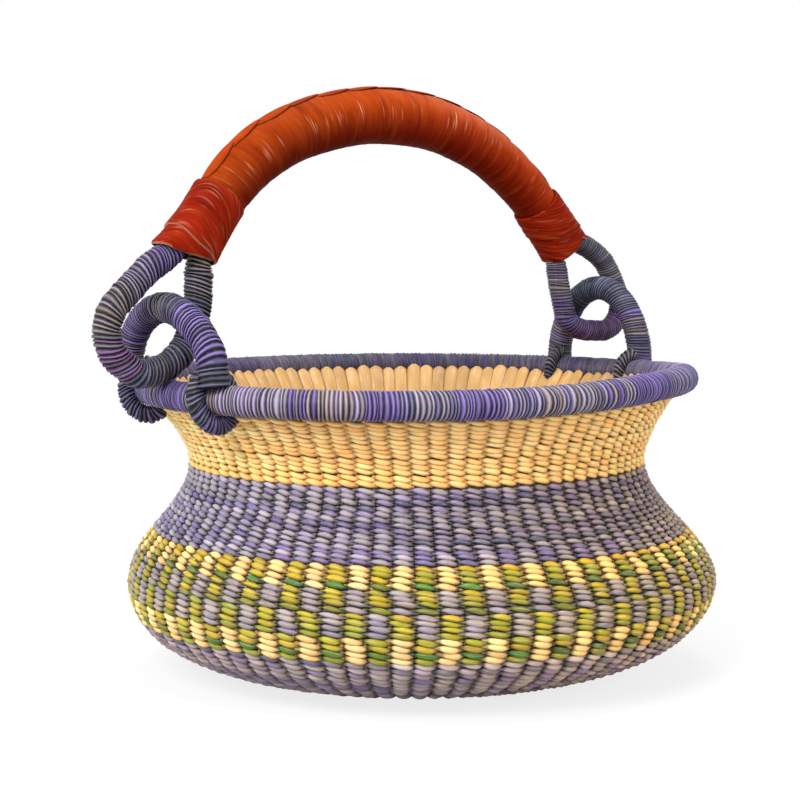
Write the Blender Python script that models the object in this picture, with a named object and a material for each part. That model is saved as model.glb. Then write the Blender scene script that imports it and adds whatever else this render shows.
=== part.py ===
"""Bolga basket: a twined grass basket with a wound rim and a leather covered carrying handle.

The basket stands on its flat base with the origin at the base's centre on the floor, +Z up.
The handle lies along X. Two bows of wound grass stand on the rim, each held by two rings that
pass through the weave under the rim. The handle ends in two loops linked through the bows, so it
tips about a line along X through the foot of the loops. All sizes are in metres.
"""

import math

import bmesh
import bpy
from mathutils import Matrix, Vector
from mathutils.geometry import interpolate_bezier

# Clearances
GAP = 0.0003
BORDER_GAP = 0.0006
RING_PLAY = 0.0011
NOTCH_PLAY = 0.0015

# Main sizes: the rim's middle line above the floor, its radius, the belly and the base
RIM_HEIGHT = 0.146
RIM_RING_RADIUS = 0.1385
BELLY_RADIUS = 0.1505
BASE_RADIUS = 0.070

# Wall of the basket, measured on the outer surface of the weave
BELLY_HEIGHT_SHARE = 0.3219
BELLY_HEIGHT = RIM_HEIGHT * BELLY_HEIGHT_SHARE
NECK_DROP = 0.038
NECK_INSET = 0.021
NECK_HEIGHT = RIM_HEIGHT - NECK_DROP
NECK_RADIUS = RIM_RING_RADIUS - NECK_INSET
MOUTH_DROP = 0.008
MOUTH_INSET = 0.004
MOUTH_HEIGHT = RIM_HEIGHT - MOUTH_DROP
MOUTH_RADIUS = RIM_RING_RADIUS - MOUTH_INSET
SHOULDER_SWEEP = 0.022
FLARE_SWEEP = 0.010
WALL_THICKNESS = 0.006
START_RADIUS = 0.018

# Heights on the outer surface where one colour of weft gives way to the next, from the bottom,
# as shares of the neck's height
COURSE_SHARES = {
    "checker_course_1": 0.2713,
    "checker_course_2": 0.3861,
    "checker_course_3": 0.4898,
    "checker_course_4": 0.5852,
    "shoulder_band": 0.6796,
    "neck_band": 0.9815,
}

# Rim: a grass hoop wound with dyed strip, over the folded ends of the stakes
RIM_CORE_RADIUS = 0.0057
RIM_WRAP_THICKNESS = 0.0013
RIM_SEAT_ANGLE = math.radians(228)
RIM_SLOT_ANGLE = math.radians(40)
BORDER_THICKNESS = 0.0035
BORDER_ANGLE = math.radians(72)
BORDER_CLEAR_BEFORE = 0.006
BORDER_CLEAR_AFTER = 0.016

# Handle arch: the line through the middle of the grip and both cuffs
HANDLE_OFFSET = 0.012
ARCH_MIDDLE = -0.007
ARCH_INSET = 0.0145
ARCH_HALF_SPAN = RIM_RING_RADIUS - ARCH_INSET
ARCH_FOOT_LIFT = 0.0665
ARCH_FOOT_HEIGHT = RIM_HEIGHT + ARCH_FOOT_LIFT
ARCH_RISE = 0.0715
ARCH_SHARES = (
    (-1.0, 0.0),
    (-0.911, 0.203),
    (-0.81, 0.40),
    (-0.685, 0.622),
    (-0.548, 0.783),
    (-0.387, 0.902),
    (-0.21, 0.972),
    (-0.024, 1.0),
    (0.153, 0.979),
    (0.323, 0.909),
    (0.484, 0.79),
    (0.621, 0.636),
    (0.734, 0.483),
    (0.823, 0.329),
    (0.911, 0.168),
    (1.0, 0.0),
)
GRIP_TOP_RADIUS = 0.0138
GRIP_END_RADIUS = 0.0122
LEATHER_THICKNESS = 0.0013

# Cuffs: leather strip wound over the joint of grip and loops
CUFF_LENGTH = 0.040
CUFF_THICKNESS = 0.0018
CUFF_TUCK = 0.009
CORE_END_INSET = 0.020
LOOP_END_GAP = 0.0009
CUFF_FLAT_SHARE = 0.4

# Lacing: overlapping leather stitches along the outer side of the grip
LACING_STITCHES = 12
LACING_WIDTH = 0.0095
LACING_THICKNESS = 0.0016
LACING_WAIST_SHARE = 0.7

# Wound cord of the bows and loops
CORD_WRAP_THICKNESS = 0.0011
RING_CORD_RADIUS = 0.0040
RING_TILT = math.radians(36)


# Bows on the rim. Distances run from the basket's axis, heights from the rim's middle line
LEFT_BOW_STANDOFF = 0.003
LEFT_BOW_DISTANCE = RIM_RING_RADIUS + LEFT_BOW_STANDOFF
LEFT_BOW_HALF_SPAN = 0.0378
LEFT_BOW_RISE = 0.031
LEFT_BOW_SPRING = 0.013
LEFT_BOW_FOOT = 0.0161
LEFT_BOW_RADIUS = 0.0067
RIGHT_BOW_INSET = 0.001
RIGHT_BOW_DISTANCE = RIM_RING_RADIUS - RIGHT_BOW_INSET
RIGHT_BOW_HALF_SPAN = 0.032
RIGHT_BOW_RISE = 0.040
RIGHT_BOW_SPRING = 0.007
RIGHT_BOW_FOOT = 0.0173
RIGHT_BOW_RADIUS = 0.0060

# Loops at the ends of the handle: the middle and the half width of their shapes along X
LEFT_LOOP_STANDOFF = 0.008
LEFT_LOOP_MIDDLE = RIM_RING_RADIUS + LEFT_LOOP_STANDOFF
LEFT_LOOP_HALF_WIDTH = 0.026
LEFT_LOOP_LIFT = 0.011
LEFT_LOOP_BOTTOM = RIM_HEIGHT + LEFT_LOOP_LIFT
LEFT_LOOP_HEIGHT = 0.057
LEFT_LOOP_RADIUS = 0.0065
LEFT_LOOP_SPREAD = 0.0070
RIGHT_LOOP_INSET = 0.002
RIGHT_LOOP_MIDDLE = RIM_RING_RADIUS - RIGHT_LOOP_INSET
RIGHT_LOOP_HALF_WIDTH = 0.0215
RIGHT_LOOP_LIFT = 0.0225
RIGHT_LOOP_BOTTOM = RIM_HEIGHT + RIGHT_LOOP_LIFT
RIGHT_LOOP_HEIGHT = 0.046
RIGHT_LOOP_RADIUS = 0.0058
RIGHT_LOOP_SPREAD = 0.0064

# Cuffs: round at the top, oval at the foot over the two cords of the loop
CUFF_TOP_RADIUS = 0.0153
LEFT_CUFF_FOOT_WIDTH = 0.0193
LEFT_CUFF_FOOT_DEPTH = 0.0099
LEFT_CUFF_LIFT = 0.0005
LEFT_CUFF_SLANT_SHARE = 0.37
RIGHT_CUFF_FOOT_WIDTH = 0.0198
RIGHT_CUFF_FOOT_DEPTH = 0.0100
RIGHT_CUFF_LIFT = 0.0050
RIGHT_CUFF_SLANT_SHARE = 0.46


class Side:
    """Sizes of one end of the handle; the two ends are made by hand and differ a little."""

    def __init__(self, name, sign, bow, loop, cuff):
        self.name = name
        self.sign = sign
        self.bow = bow
        self.loop = loop
        self.cuff = cuff


LEFT = Side(
    "left",
    -1,
    bow={
        "distance": LEFT_BOW_DISTANCE,
        "half_span": LEFT_BOW_HALF_SPAN,
        "rise": LEFT_BOW_RISE,
        "spring": LEFT_BOW_SPRING,
        "foot": LEFT_BOW_FOOT,
        "radius": LEFT_BOW_RADIUS,
    },
    loop={
        "middle": LEFT_LOOP_MIDDLE,
        "half_width": LEFT_LOOP_HALF_WIDTH,
        "bottom": LEFT_LOOP_BOTTOM,
        "height": LEFT_LOOP_HEIGHT,
        "radius": LEFT_LOOP_RADIUS,
        "spread": LEFT_LOOP_SPREAD,
    },
    cuff={
        "foot_width": LEFT_CUFF_FOOT_WIDTH,
        "foot_depth": LEFT_CUFF_FOOT_DEPTH,
        "lift": LEFT_CUFF_LIFT,
        "slant_share": LEFT_CUFF_SLANT_SHARE,
    },
)
LEFT_LOOP_SHARES = (
    (-0.18, 1.01),
    (0.27, 0.88),
    (0.65, 0.70),
    (0.92, 0.56),
    (1.0, 0.39),
    (0.96, 0.20),
    (0.73, 0.07),
    (0.35, 0.0),
    (-0.15, 0.04),
    (-0.58, 0.17),
    (-0.77, 0.31),
    (-0.96, 0.54),
    (-1.0, 0.76),
    (-1.03, 0.95),
)
RIGHT = Side(
    "right",
    1,
    bow={
        "distance": RIGHT_BOW_DISTANCE,
        "half_span": RIGHT_BOW_HALF_SPAN,
        "rise": RIGHT_BOW_RISE,
        "spring": RIGHT_BOW_SPRING,
        "foot": RIGHT_BOW_FOOT,
        "radius": RIGHT_BOW_RADIUS,
    },
    loop={
        "middle": RIGHT_LOOP_MIDDLE,
        "half_width": RIGHT_LOOP_HALF_WIDTH,
        "bottom": RIGHT_LOOP_BOTTOM,
        "height": RIGHT_LOOP_HEIGHT,
        "radius": RIGHT_LOOP_RADIUS,
        "spread": RIGHT_LOOP_SPREAD,
    },
    cuff={
        "foot_width": RIGHT_CUFF_FOOT_WIDTH,
        "foot_depth": RIGHT_CUFF_FOOT_DEPTH,
        "lift": RIGHT_CUFF_LIFT,
        "slant_share": RIGHT_CUFF_SLANT_SHARE,
    },
)
RIGHT_LOOP_SHARES = (
    (-0.78, 1.13),
    (-0.16, 1.01),
    (0.40, 0.84),
    (0.81, 0.55),
    (1.0, 0.32),
    (0.91, 0.14),
    (0.58, 0.01),
    (0.07, 0.0),
    (-0.44, 0.03),
    (-0.86, 0.14),
    (-1.0, 0.32),
    (-1.14, 0.55),
    (-1.28, 0.84),
    (-1.49, 1.01),
)

# Fineness of the meshes, in counts
AROUND = 48
START_AROUND = 24
OUTLINE_POINTS = 24
RIM_SECTION = 7
BORDER_SECTION = 4
BOW_POINTS = 12
LINE_STEPS = 8
HALVINGS = 30
SHARP_ANGLE = math.radians(35)
CORD_SIDES = 2
GRIP_SIDES = 4
GRIP_STATIONS = 16
RING_POINTS = 14
LOOP_POINTS = 21
CUFF_STATIONS = 6
CUFF_SIDES = 16

RIM_RADIUS = RIM_CORE_RADIUS + GAP + RIM_WRAP_THICKNESS
HINGE_HEIGHT = RIM_HEIGHT + RIM_RADIUS + GAP + LEFT.loop["radius"]


def clear_scene():
    for obj in list(bpy.data.objects):
        bpy.data.objects.remove(obj)


def material(name, colour, roughness):
    made = bpy.data.materials.new(name)
    made.use_nodes = True
    shader = made.node_tree.nodes["Principled BSDF"]
    shader.inputs["Base Color"].default_value = (*colour, 1)
    shader.inputs["Roughness"].default_value = roughness
    shader.inputs["Metallic"].default_value = 0
    made.diffuse_color = (*colour, 1)
    return made


STRAW = (0.75, 0.50, 0.22)
PURPLE_GREY = (0.18, 0.15, 0.27)
OLIVE = (0.28, 0.29, 0.05)
CREAM = (0.85, 0.68, 0.38)
VIOLET = (0.16, 0.12, 0.32)
LEATHER = (0.50, 0.11, 0.02)
CUFF_RED = (0.45, 0.06, 0.02)


def body_empty(name, place):
    """An empty that stands for a moving body, on its joint's axis."""
    empty = bpy.data.objects.new(name, None)
    empty.location = place
    bpy.context.scene.collection.objects.link(empty)
    return empty


def place(obj, body, colour, roughness):
    """Links an object modelled in world space, under its body's empty and with its own material."""
    if obj.name not in bpy.context.scene.collection.objects:
        bpy.context.scene.collection.objects.link(obj)
    obj.data.materials.append(material(obj.name, colour, roughness))
    obj.parent = body
    obj.matrix_parent_inverse = Matrix.Translation(-body.location)
    return obj


def mesh_object(name, bm):
    bmesh.ops.recalc_face_normals(bm, faces=bm.faces)
    mesh = bpy.data.meshes.new(name)
    bm.to_mesh(mesh)
    bm.free()
    mesh.shade_smooth()
    mesh.set_sharp_from_angle(angle=SHARP_ANGLE)
    return bpy.data.objects.new(name, mesh)


def smooth_line(points):
    """A smooth line through the points, as a close run of points."""
    points = [Vector(point) for point in points]
    line = []
    for i in range(len(points) - 1):
        before = points[max(0, i - 1)]
        start = points[i]
        end = points[i + 1]
        after = points[min(i + 2, len(points) - 1)]
        lead = start + (end - before) / 6
        trail = end - (after - start) / 6
        line += interpolate_bezier(start, lead, trail, end, LINE_STEPS + 1)[:-1]
    line.append(points[-1])
    return line


def along(line, distance):
    """The point and direction at a distance along a line."""
    for a, b in zip(line, line[1:]):
        length = (b - a).length
        if distance <= length:
            break
        distance -= length
    direction = (b - a).normalized()
    return a + direction * distance, direction


def length_of(line):
    return sum((b - a).length for a, b in zip(line, line[1:]))


def spaced(line, count):
    """The same line with evenly spaced points."""
    total = length_of(line)
    return [along(line, total * i / (count - 1))[0] for i in range(count)]


def turned(name, profile):
    """A closed outline of (radius, height) points, turned about the basket's axis."""
    bm = bmesh.new()
    verts = [bm.verts.new((radius, 0, height)) for radius, height in profile]
    edges = [bm.edges.new((a, b)) for a, b in zip(verts, verts[1:] + verts[:1])]
    bmesh.ops.spin(
        bm,
        geom=verts + edges,
        cent=(0, 0, 0),
        axis=(0, 0, 1),
        angle=math.tau,
        steps=AROUND,
        use_merge=True,
    )
    return mesh_object(name, bm)


def turned_part(name, profile, start, end):
    """The same outline turned only from one angle to another, with flat ends."""
    bm = bmesh.new()
    steps = max(2, math.ceil(AROUND * (end - start) / math.tau))
    rings = []
    for i in range(steps + 1):
        turn = Matrix.Rotation(start + (end - start) * i / steps, 3, "Z")
        rings.append([bm.verts.new(turn @ Vector((r, 0, z))) for r, z in profile])
    skin(bm, rings)
    return mesh_object(name, bm)


def cord(name, points, radii, resolution, cyclic=False, caps=True):
    """A round cord along the points, as a curve with a bevel."""
    curve = bpy.data.curves.new(name, "CURVE")
    curve.dimensions = "3D"
    curve.twist_mode = "MINIMUM"
    curve.bevel_depth = max(radii)
    curve.bevel_resolution = resolution
    curve.use_fill_caps = caps and not cyclic
    spline = curve.splines.new("POLY")
    spline.points.add(len(points) - 1)
    for point, position, radius in zip(spline.points, points, radii):
        point.co = (*position, 1)
        point.radius = radius / curve.bevel_depth
    spline.use_cyclic_u = cyclic
    spline.use_smooth = True
    return bpy.data.objects.new(name, curve)


def sleeve(name, points, radii, thickness, resolution):
    """An open sleeve round the same line, its wall measured inwards from the radii."""
    obj = cord(name, points, radii, resolution, caps=False)
    wall = obj.modifiers.new("wall", "SOLIDIFY")
    wall.thickness = thickness
    wall.offset = -1
    wall.use_even_offset = True
    return obj


def wall_outline():
    """Points (radius, height) of the wall's outer surface, from the centre of the base to the rim."""
    line = [Vector((0, 0)), Vector((BASE_RADIUS, 0))]
    for i in range(1, OUTLINE_POINTS + 1):
        angle = math.pi / 2 * i / OUTLINE_POINTS
        radius = BASE_RADIUS + (BELLY_RADIUS - BASE_RADIUS) * math.sin(angle)
        height = BELLY_HEIGHT * (1 - math.cos(angle))
        line.append(Vector((radius, height)))
    belly = Vector((BELLY_RADIUS, BELLY_HEIGHT))
    neck = Vector((NECK_RADIUS, NECK_HEIGHT))
    mouth = Vector((MOUTH_RADIUS, MOUTH_HEIGHT))
    up = Vector((0, SHOULDER_SWEEP))
    line += interpolate_bezier(belly, belly + up, neck - up, neck, OUTLINE_POINTS)[1:]
    flare_up = Vector((0, FLARE_SWEEP))
    flare_out = Vector((-FLARE_SWEEP, -FLARE_SWEEP)) * math.sqrt(0.5)
    lead = neck + flare_up
    trail = mouth + flare_out
    line += interpolate_bezier(neck, lead, trail, mouth, OUTLINE_POINTS)[1:]
    return [Vector((x, z)) for x, z, *_ in line]


def inward(direction):
    """The wall's inward normal: left of the outline's upward direction."""
    return Vector((-direction.y, direction.x))


class Wall:
    """The wall as a line with a thickness, cut into bands at distances along it."""

    def __init__(self):
        self.line = wall_outline()
        self.start = length_of(self.line[:2])

    def at_height(self, height):
        """Distance along the outline where it reaches a height."""
        travelled = 0
        for a, b in zip(self.line, self.line[1:]):
            if a.y < height <= b.y:
                return travelled + (b - a).length * (height - a.y) / (b.y - a.y)
            travelled += (b - a).length
        return travelled

    def top(self):
        """Distance along the outline where the wall's middle meets the stake border."""
        reach = RIM_RADIUS + BORDER_GAP + BORDER_THICKNESS + BORDER_GAP
        centre = Vector((RIM_RING_RADIUS, RIM_HEIGHT))
        low = self.at_height(NECK_HEIGHT)
        high = length_of(self.line)
        for _ in range(HALVINGS):
            middle = (low + high) / 2
            point, direction = along(self.line, middle)
            point = point + inward(direction) * WALL_THICKNESS / 2
            if (point - centre).length > reach:
                low = middle
            else:
                high = middle
        return low

    def section(self, low, high, pieces):
        """The closed outline of the band between two distances, with a gap at each end."""
        outer = []
        inner = []
        for i in range(pieces + 1):
            distance = low + GAP / 2 + (high - low - GAP) * i / pieces
            point, direction = along(self.line, distance)
            outer.append(point)
            inner.append(point + inward(direction) * WALL_THICKNESS)
        return outer + inner[::-1]


def make_wall(body):
    wall = Wall()
    bm = bmesh.new()
    bmesh.ops.create_cone(
        bm,
        cap_ends=True,
        segments=START_AROUND,
        radius1=START_RADIUS,
        radius2=START_RADIUS,
        depth=WALL_THICKNESS,
        matrix=Matrix.Translation((0, 0, WALL_THICKNESS / 2)),
    )
    place(mesh_object("base_start", bm), body, STRAW, 0.7)

    heights = [wall.at_height(NECK_HEIGHT * share) for share in COURSE_SHARES.values()]
    cuts = [START_RADIUS + GAP / 2, wall.start, *heights, wall.top()]
    names = ["base_weave", "foot_band", *COURSE_SHARES]
    pieces = [1, 6, 1, 1, 1, 1, 3, 3]
    colours = [STRAW, PURPLE_GREY, CREAM, OLIVE, PURPLE_GREY, CREAM, PURPLE_GREY, STRAW]
    made = {}
    for name, low, high, count, colour in zip(names, cuts, cuts[1:], pieces, colours):
        band = turned(name, wall.section(low, high, count))
        made[name] = place(band, body, colour, 0.7)
    return made


def arc_points(radius, start, end, count):
    """Points (radius, height) of an arc about the rim's section centre."""
    points = []
    for i in range(count + 1):
        angle = start + (end - start) * i / count
        points.append(
            Vector((
                RIM_RING_RADIUS + radius * math.cos(angle),
                RIM_HEIGHT + radius * math.sin(angle),
            ))
        )
    return points


def make_rim(body):
    """The hoop, the strip wound round it, and the folded stake ends that it sits on."""
    start = RIM_SEAT_ANGLE + RIM_SLOT_ANGLE / 2
    end = RIM_SEAT_ANGLE + math.tau - RIM_SLOT_ANGLE / 2
    core = arc_points(RIM_CORE_RADIUS, start, end, RIM_SECTION)
    place(turned("rim_core", core), body, STRAW, 0.7)

    outer = arc_points(RIM_RADIUS, start, end, RIM_SECTION)
    inner = arc_points(RIM_CORE_RADIUS + GAP, start, end, RIM_SECTION)
    place(turned("rim_wrap", outer + inner[::-1]), body, VIOLET, 0.6)

    near = RIM_RADIUS + BORDER_GAP
    start = RIM_SEAT_ANGLE - BORDER_ANGLE / 2
    end = RIM_SEAT_ANGLE + BORDER_ANGLE / 2
    hug = arc_points(near, start, end, BORDER_SECTION)
    back = arc_points(near + BORDER_THICKNESS, start, end, BORDER_SECTION)
    before = BORDER_CLEAR_BEFORE / RIM_RING_RADIUS
    after = BORDER_CLEAR_AFTER / RIM_RING_RADIUS
    rings = [foot_azimuth(RIGHT, 1), foot_azimuth(LEFT, -1), foot_azimuth(LEFT, 1)]
    rings = [*rings, foot_azimuth(RIGHT, -1) + math.tau, foot_azimuth(RIGHT, 1) + math.tau]
    for word, first, last in zip(("back", "left", "front", "right"), rings, rings[1:]):
        outline = back + hug[::-1]
        border = turned_part(f"stake_border_{word}", outline, first + after, last - before)
        place(border, body, STRAW, 0.7)


def bow_frame(side):
    """Centre and axes of a bow: out from the basket, along the rim, and up."""
    bow = side.bow
    across = math.asin(HANDLE_OFFSET / bow["distance"])
    azimuth = across if side.sign > 0 else math.pi - across
    out = Vector((math.cos(azimuth), math.sin(azimuth), 0))
    tangent = Vector((-math.sin(azimuth), math.cos(azimuth), 0))
    return azimuth, out, tangent


def foot_swing(side):
    """How far round the rim each foot stands from the middle of the bow, as an angle."""
    return math.atan(side.bow["half_span"] / side.bow["distance"])


def foot_azimuth(side, which):
    """The angle round the rim of one foot of a bow: which is 1 further round and -1 back."""
    azimuth, _, _ = bow_frame(side)
    return azimuth + which * foot_swing(side)


def bow_line(side):
    """The bow stands on two feet outside the crown of the rim and arches over between them."""
    bow = side.bow
    _, out, tangent = bow_frame(side)
    base = out * bow["distance"] + Vector((0, 0, RIM_HEIGHT))
    points = []
    start = math.asin(max(0, bow["foot"] - bow["spring"]) / bow["rise"])
    for i in range(BOW_POINTS + 1):
        angle = start + (math.pi - 2 * start) * i / BOW_POINTS
        sideways = bow["half_span"] * math.cos(angle)
        height = bow["spring"] + bow["rise"] * math.sin(angle)
        points.append(base + tangent * sideways + Vector((0, 0, height)))
    return points


def ring_line(side, which):
    """A ring round the rim at one foot of the bow, leaning along the rim."""
    at = foot_azimuth(side, which)
    out = Vector((math.cos(at), math.sin(at), 0))
    tangent = Vector((-math.sin(at), math.cos(at), 0))
    up = Vector((0, 0, math.cos(RING_TILT))) - tangent * math.sin(RING_TILT)
    centre = out * RIM_RING_RADIUS + Vector((0, 0, RIM_HEIGHT))
    reach = RIM_RADIUS + RING_PLAY + RING_CORD_RADIUS
    points = []
    for i in range(RING_POINTS):
        angle = math.tau * i / RING_POINTS
        sideways = out * reach * math.cos(angle)
        points.append(centre + sideways + up * reach / math.cos(RING_TILT) * math.sin(angle))
    return points


def notch(side, which, piece):
    """Opens the weave where a ring passes through it."""
    points = ring_line(side, which)
    radii = [RING_CORD_RADIUS + NOTCH_PLAY] * len(points)
    tool = cord("notch_tool", points, radii, CORD_SIDES, cyclic=True)
    cutter = bpy.data.objects.new(
        f"{side.name}_notch_{which}", bpy.data.meshes.new_from_object(tool)
    )
    bpy.data.objects.remove(tool)
    bpy.context.scene.collection.objects.link(cutter)
    cutter.hide_render = True
    cutter.display_type = "WIRE"
    cut = piece.modifiers.new(cutter.name, "BOOLEAN")
    cut.object = cutter
    cut.operation = "DIFFERENCE"


def make_bracket(side, weave):
    """One bow with the two rings that tie its feet to the rim."""
    _, out, _ = bow_frame(side)
    chord = RIM_RING_RADIUS * math.cos(foot_swing(side))
    pivot = out * chord + Vector((0, 0, RIM_HEIGHT))
    body = body_empty(f"{side.name}_bracket", pivot)
    radius = side.bow["radius"]
    line = bow_line(side)
    wrap = [radius] * len(line)
    core = [radius - CORD_WRAP_THICKNESS - GAP] * len(line)
    bow_wrap = sleeve(f"{side.name}_bow_wrap", line, wrap, CORD_WRAP_THICKNESS, CORD_SIDES)
    place(bow_wrap, body, VIOLET, 0.6)
    place(cord(f"{side.name}_bow_core", line, core, CORD_SIDES), body, STRAW, 0.7)
    for which, word in ((side.sign, "back"), (-side.sign, "front")):
        points = ring_line(side, which)
        radii = [RING_CORD_RADIUS] * len(points)
        ring = cord(f"{side.name}_{word}_ring", points, radii, CORD_SIDES, cyclic=True)
        place(ring, body, VIOLET, 0.6)
        notch(side, which, weave)


def arch_line():
    """The middle line of the handle, from the foot of the left cuff to the foot of the right one."""
    points = []
    for across, up in ARCH_SHARES:
        x = ARCH_MIDDLE + across * ARCH_HALF_SPAN
        points.append((x, HANDLE_OFFSET, ARCH_FOOT_HEIGHT + up * ARCH_RISE))
    return smooth_line(points)


def from_end(side, distance):
    """Point, downward direction and outward direction at a distance up from a cuff's foot."""
    line = arch_line()
    if side.sign > 0:
        line = line[::-1]
    point, upward = along(line, distance)
    down = -upward
    outward = Vector((side.sign * -down.z, 0, abs(down.x)))
    return point, down, outward


def grip_radius(share):
    """The grip is a little fuller at the top than at its ends."""
    return GRIP_END_RADIUS + (GRIP_TOP_RADIUS - GRIP_END_RADIUS) * math.sin(math.pi * share)


def make_grip(body):
    """The grass core, the leather round it and the lacing that closes the leather."""
    line = arch_line()
    total = length_of(line)
    edge = CUFF_LENGTH - CUFF_TUCK
    run = total - 2 * edge
    covered = [edge + run * i / GRIP_STATIONS for i in range(GRIP_STATIONS + 1)]
    leather = [along(line, distance)[0] for distance in covered]
    radii = [grip_radius(distance / total) for distance in covered]
    cover = sleeve("grip_leather", leather, radii, LEATHER_THICKNESS, GRIP_SIDES)
    place(cover, body, LEATHER, 0.4)

    held = [CORE_END_INSET, *covered, total - CORE_END_INSET]
    core = [along(line, distance)[0] for distance in held]
    inset = LEATHER_THICKNESS + GAP
    radii = [grip_radius(distance / total) - inset for distance in held]
    place(cord("handle_core", core, radii, GRIP_SIDES), body, STRAW, 0.7)
    place(make_lacing(line, total), body, LEATHER, 0.45)


def make_lacing(line, total):
    """A row of overlapping stitches along the outer side, broad in the middle of each stitch."""
    bm = bmesh.new()
    start = CUFF_LENGTH + GAP
    run = total - 2 * start
    count = 2 * LACING_STITCHES
    rings = []
    for i in range(count + 1):
        distance = start + run * i / count
        point, forward = along(line, distance)
        outward = Vector((-forward.z, 0, forward.x))
        radius = grip_radius(distance / total) + GAP
        width = LACING_WIDTH * (1 if i % 2 else LACING_WAIST_SHARE)
        half_angle = width / 2 / radius
        corners = []
        angles = (-half_angle, 0, half_angle)
        for reach, order in ((radius, angles), (radius + LACING_THICKNESS, angles[::-1])):
            for angle in order:
                offset = outward * math.cos(angle) + Vector((0, math.sin(angle), 0))
                corners.append(bm.verts.new(point + offset * reach))
        rings.append(corners)
    skin(bm, rings)
    return mesh_object("grip_lacing", bm)


def skin(bm, rings):
    """Joins rings of points into a closed bar with flat ends."""
    for a, b in zip(rings, rings[1:]):
        for i in range(len(a)):
            j = (i + 1) % len(a)
            bm.faces.new((a[i], a[j], b[j], b[i]))
    bm.faces.new(rings[0][::-1])
    bm.faces.new(rings[-1])


def loop_line(side, shares):
    """The cord of a loop: out of the cuff, down, under and up into the cuff again."""
    loop = side.loop
    point, down, outward = from_end(side, CORE_END_INSET - LOOP_END_GAP)
    first = point + outward * loop["spread"]
    last = point - outward * loop["spread"]
    points = [first]
    for across, up in shares:
        x = side.sign * (loop["middle"] + across * loop["half_width"])
        points.append(Vector((x, HANDLE_OFFSET, loop["bottom"] + up * loop["height"])))
    points.append(last)
    return spaced(smooth_line(points), LOOP_POINTS)


def make_loop(side, shares, body):
    radius = side.loop["radius"]
    line = loop_line(side, shares)
    wrap = [radius] * len(line)
    core = [radius - CORD_WRAP_THICKNESS - GAP] * len(line)
    loop_wrap = sleeve(f"{side.name}_loop_wrap", line, wrap, CORD_WRAP_THICKNESS, CORD_SIDES)
    place(loop_wrap, body, VIOLET, 0.6)
    place(cord(f"{side.name}_loop_core", line, core, CORD_SIDES), body, STRAW, 0.7)


def flattened(wave, share):
    """Turns an oval's cosine or sine into that of a rounder cornered oval."""
    return math.copysign(abs(wave) ** (1 - CUFF_FLAT_SHARE * share), wave)


def make_cuff(side, body):
    """A leather sleeve, round over the grip and oval over the two cords of the loop."""
    cuff = side.cuff
    bm = bmesh.new()
    rings = []
    for i in range(CUFF_STATIONS):
        share = i / (CUFF_STATIONS - 1)
        point, down, outward = from_end(side, CUFF_LENGTH + (cuff["lift"] - CUFF_LENGTH) * share)
        early = share * (2 - share)
        late = share * share
        width = CUFF_TOP_RADIUS + (cuff["foot_width"] - CUFF_TOP_RADIUS) * early
        depth = CUFF_TOP_RADIUS + (cuff["foot_depth"] - CUFF_TOP_RADIUS) * late
        slant = cuff["slant_share"] * late
        ring = []
        for j in range(CUFF_SIDES):
            angle = math.tau * j / CUFF_SIDES
            across = width * flattened(math.cos(angle), late)
            aside = depth * flattened(math.sin(angle), late)
            position = point + outward * across + Vector((0, aside, 0))
            ring.append(bm.verts.new(position + down * across * slant))
        rings.append(ring)
    for a, b in zip(rings, rings[1:]):
        for j in range(CUFF_SIDES):
            k = (j + 1) % CUFF_SIDES
            bm.faces.new((a[j], a[k], b[k], b[j]))
    obj = mesh_object(f"{side.name}_cuff", bm)
    wall = obj.modifiers.new("wall", "SOLIDIFY")
    wall.thickness = CUFF_THICKNESS
    wall.offset = -1
    wall.use_even_offset = True
    place(obj, body, CUFF_RED, 0.45)


def main():
    clear_scene()
    basket = body_empty("basket", Vector((0, 0, 0)))
    bands = make_wall(basket)
    make_rim(basket)
    for side in (LEFT, RIGHT):
        make_bracket(side, bands["neck_band"])
    handle = body_empty("handle", Vector((0, HANDLE_OFFSET, HINGE_HEIGHT)))
    make_grip(handle)
    make_loop(LEFT, LEFT_LOOP_SHARES, handle)
    make_loop(RIGHT, RIGHT_LOOP_SHARES, handle)
    make_cuff(LEFT, handle)
    make_cuff(RIGHT, handle)


main()
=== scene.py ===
"""Bolga basket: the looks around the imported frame.

Twined grass walls, a wound rim, wound bows and loops, and a leather covered handle. Every piece is
in metres, in the frame's own axes: +Z up, the handle along X, the base's centre at the origin.
"""

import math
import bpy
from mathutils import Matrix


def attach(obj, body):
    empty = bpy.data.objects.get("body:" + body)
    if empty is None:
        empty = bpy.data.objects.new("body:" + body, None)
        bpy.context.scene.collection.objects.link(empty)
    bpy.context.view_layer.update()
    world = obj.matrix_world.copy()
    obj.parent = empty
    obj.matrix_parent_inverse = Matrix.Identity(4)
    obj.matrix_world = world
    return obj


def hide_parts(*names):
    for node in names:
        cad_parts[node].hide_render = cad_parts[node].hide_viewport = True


bl_info = {
    "name": "Twined market basket",
    "version": (1, 0, 0),
    "blender": (4, 5, 0),
    "location": "View3D > Sidebar > Basket",
    "description": "Builds a twined grass basket with a wound rim and a leather handle",
    "category": "Add Mesh",
}

from dataclasses import dataclass

import bmesh
import bpy
import numpy as np
from bpy.props import FloatProperty, FloatVectorProperty, IntProperty, PointerProperty
from bpy.types import Operator, Panel, PropertyGroup
from mathutils import Matrix, Vector, noise
from mathutils.geometry import interpolate_bezier

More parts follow.
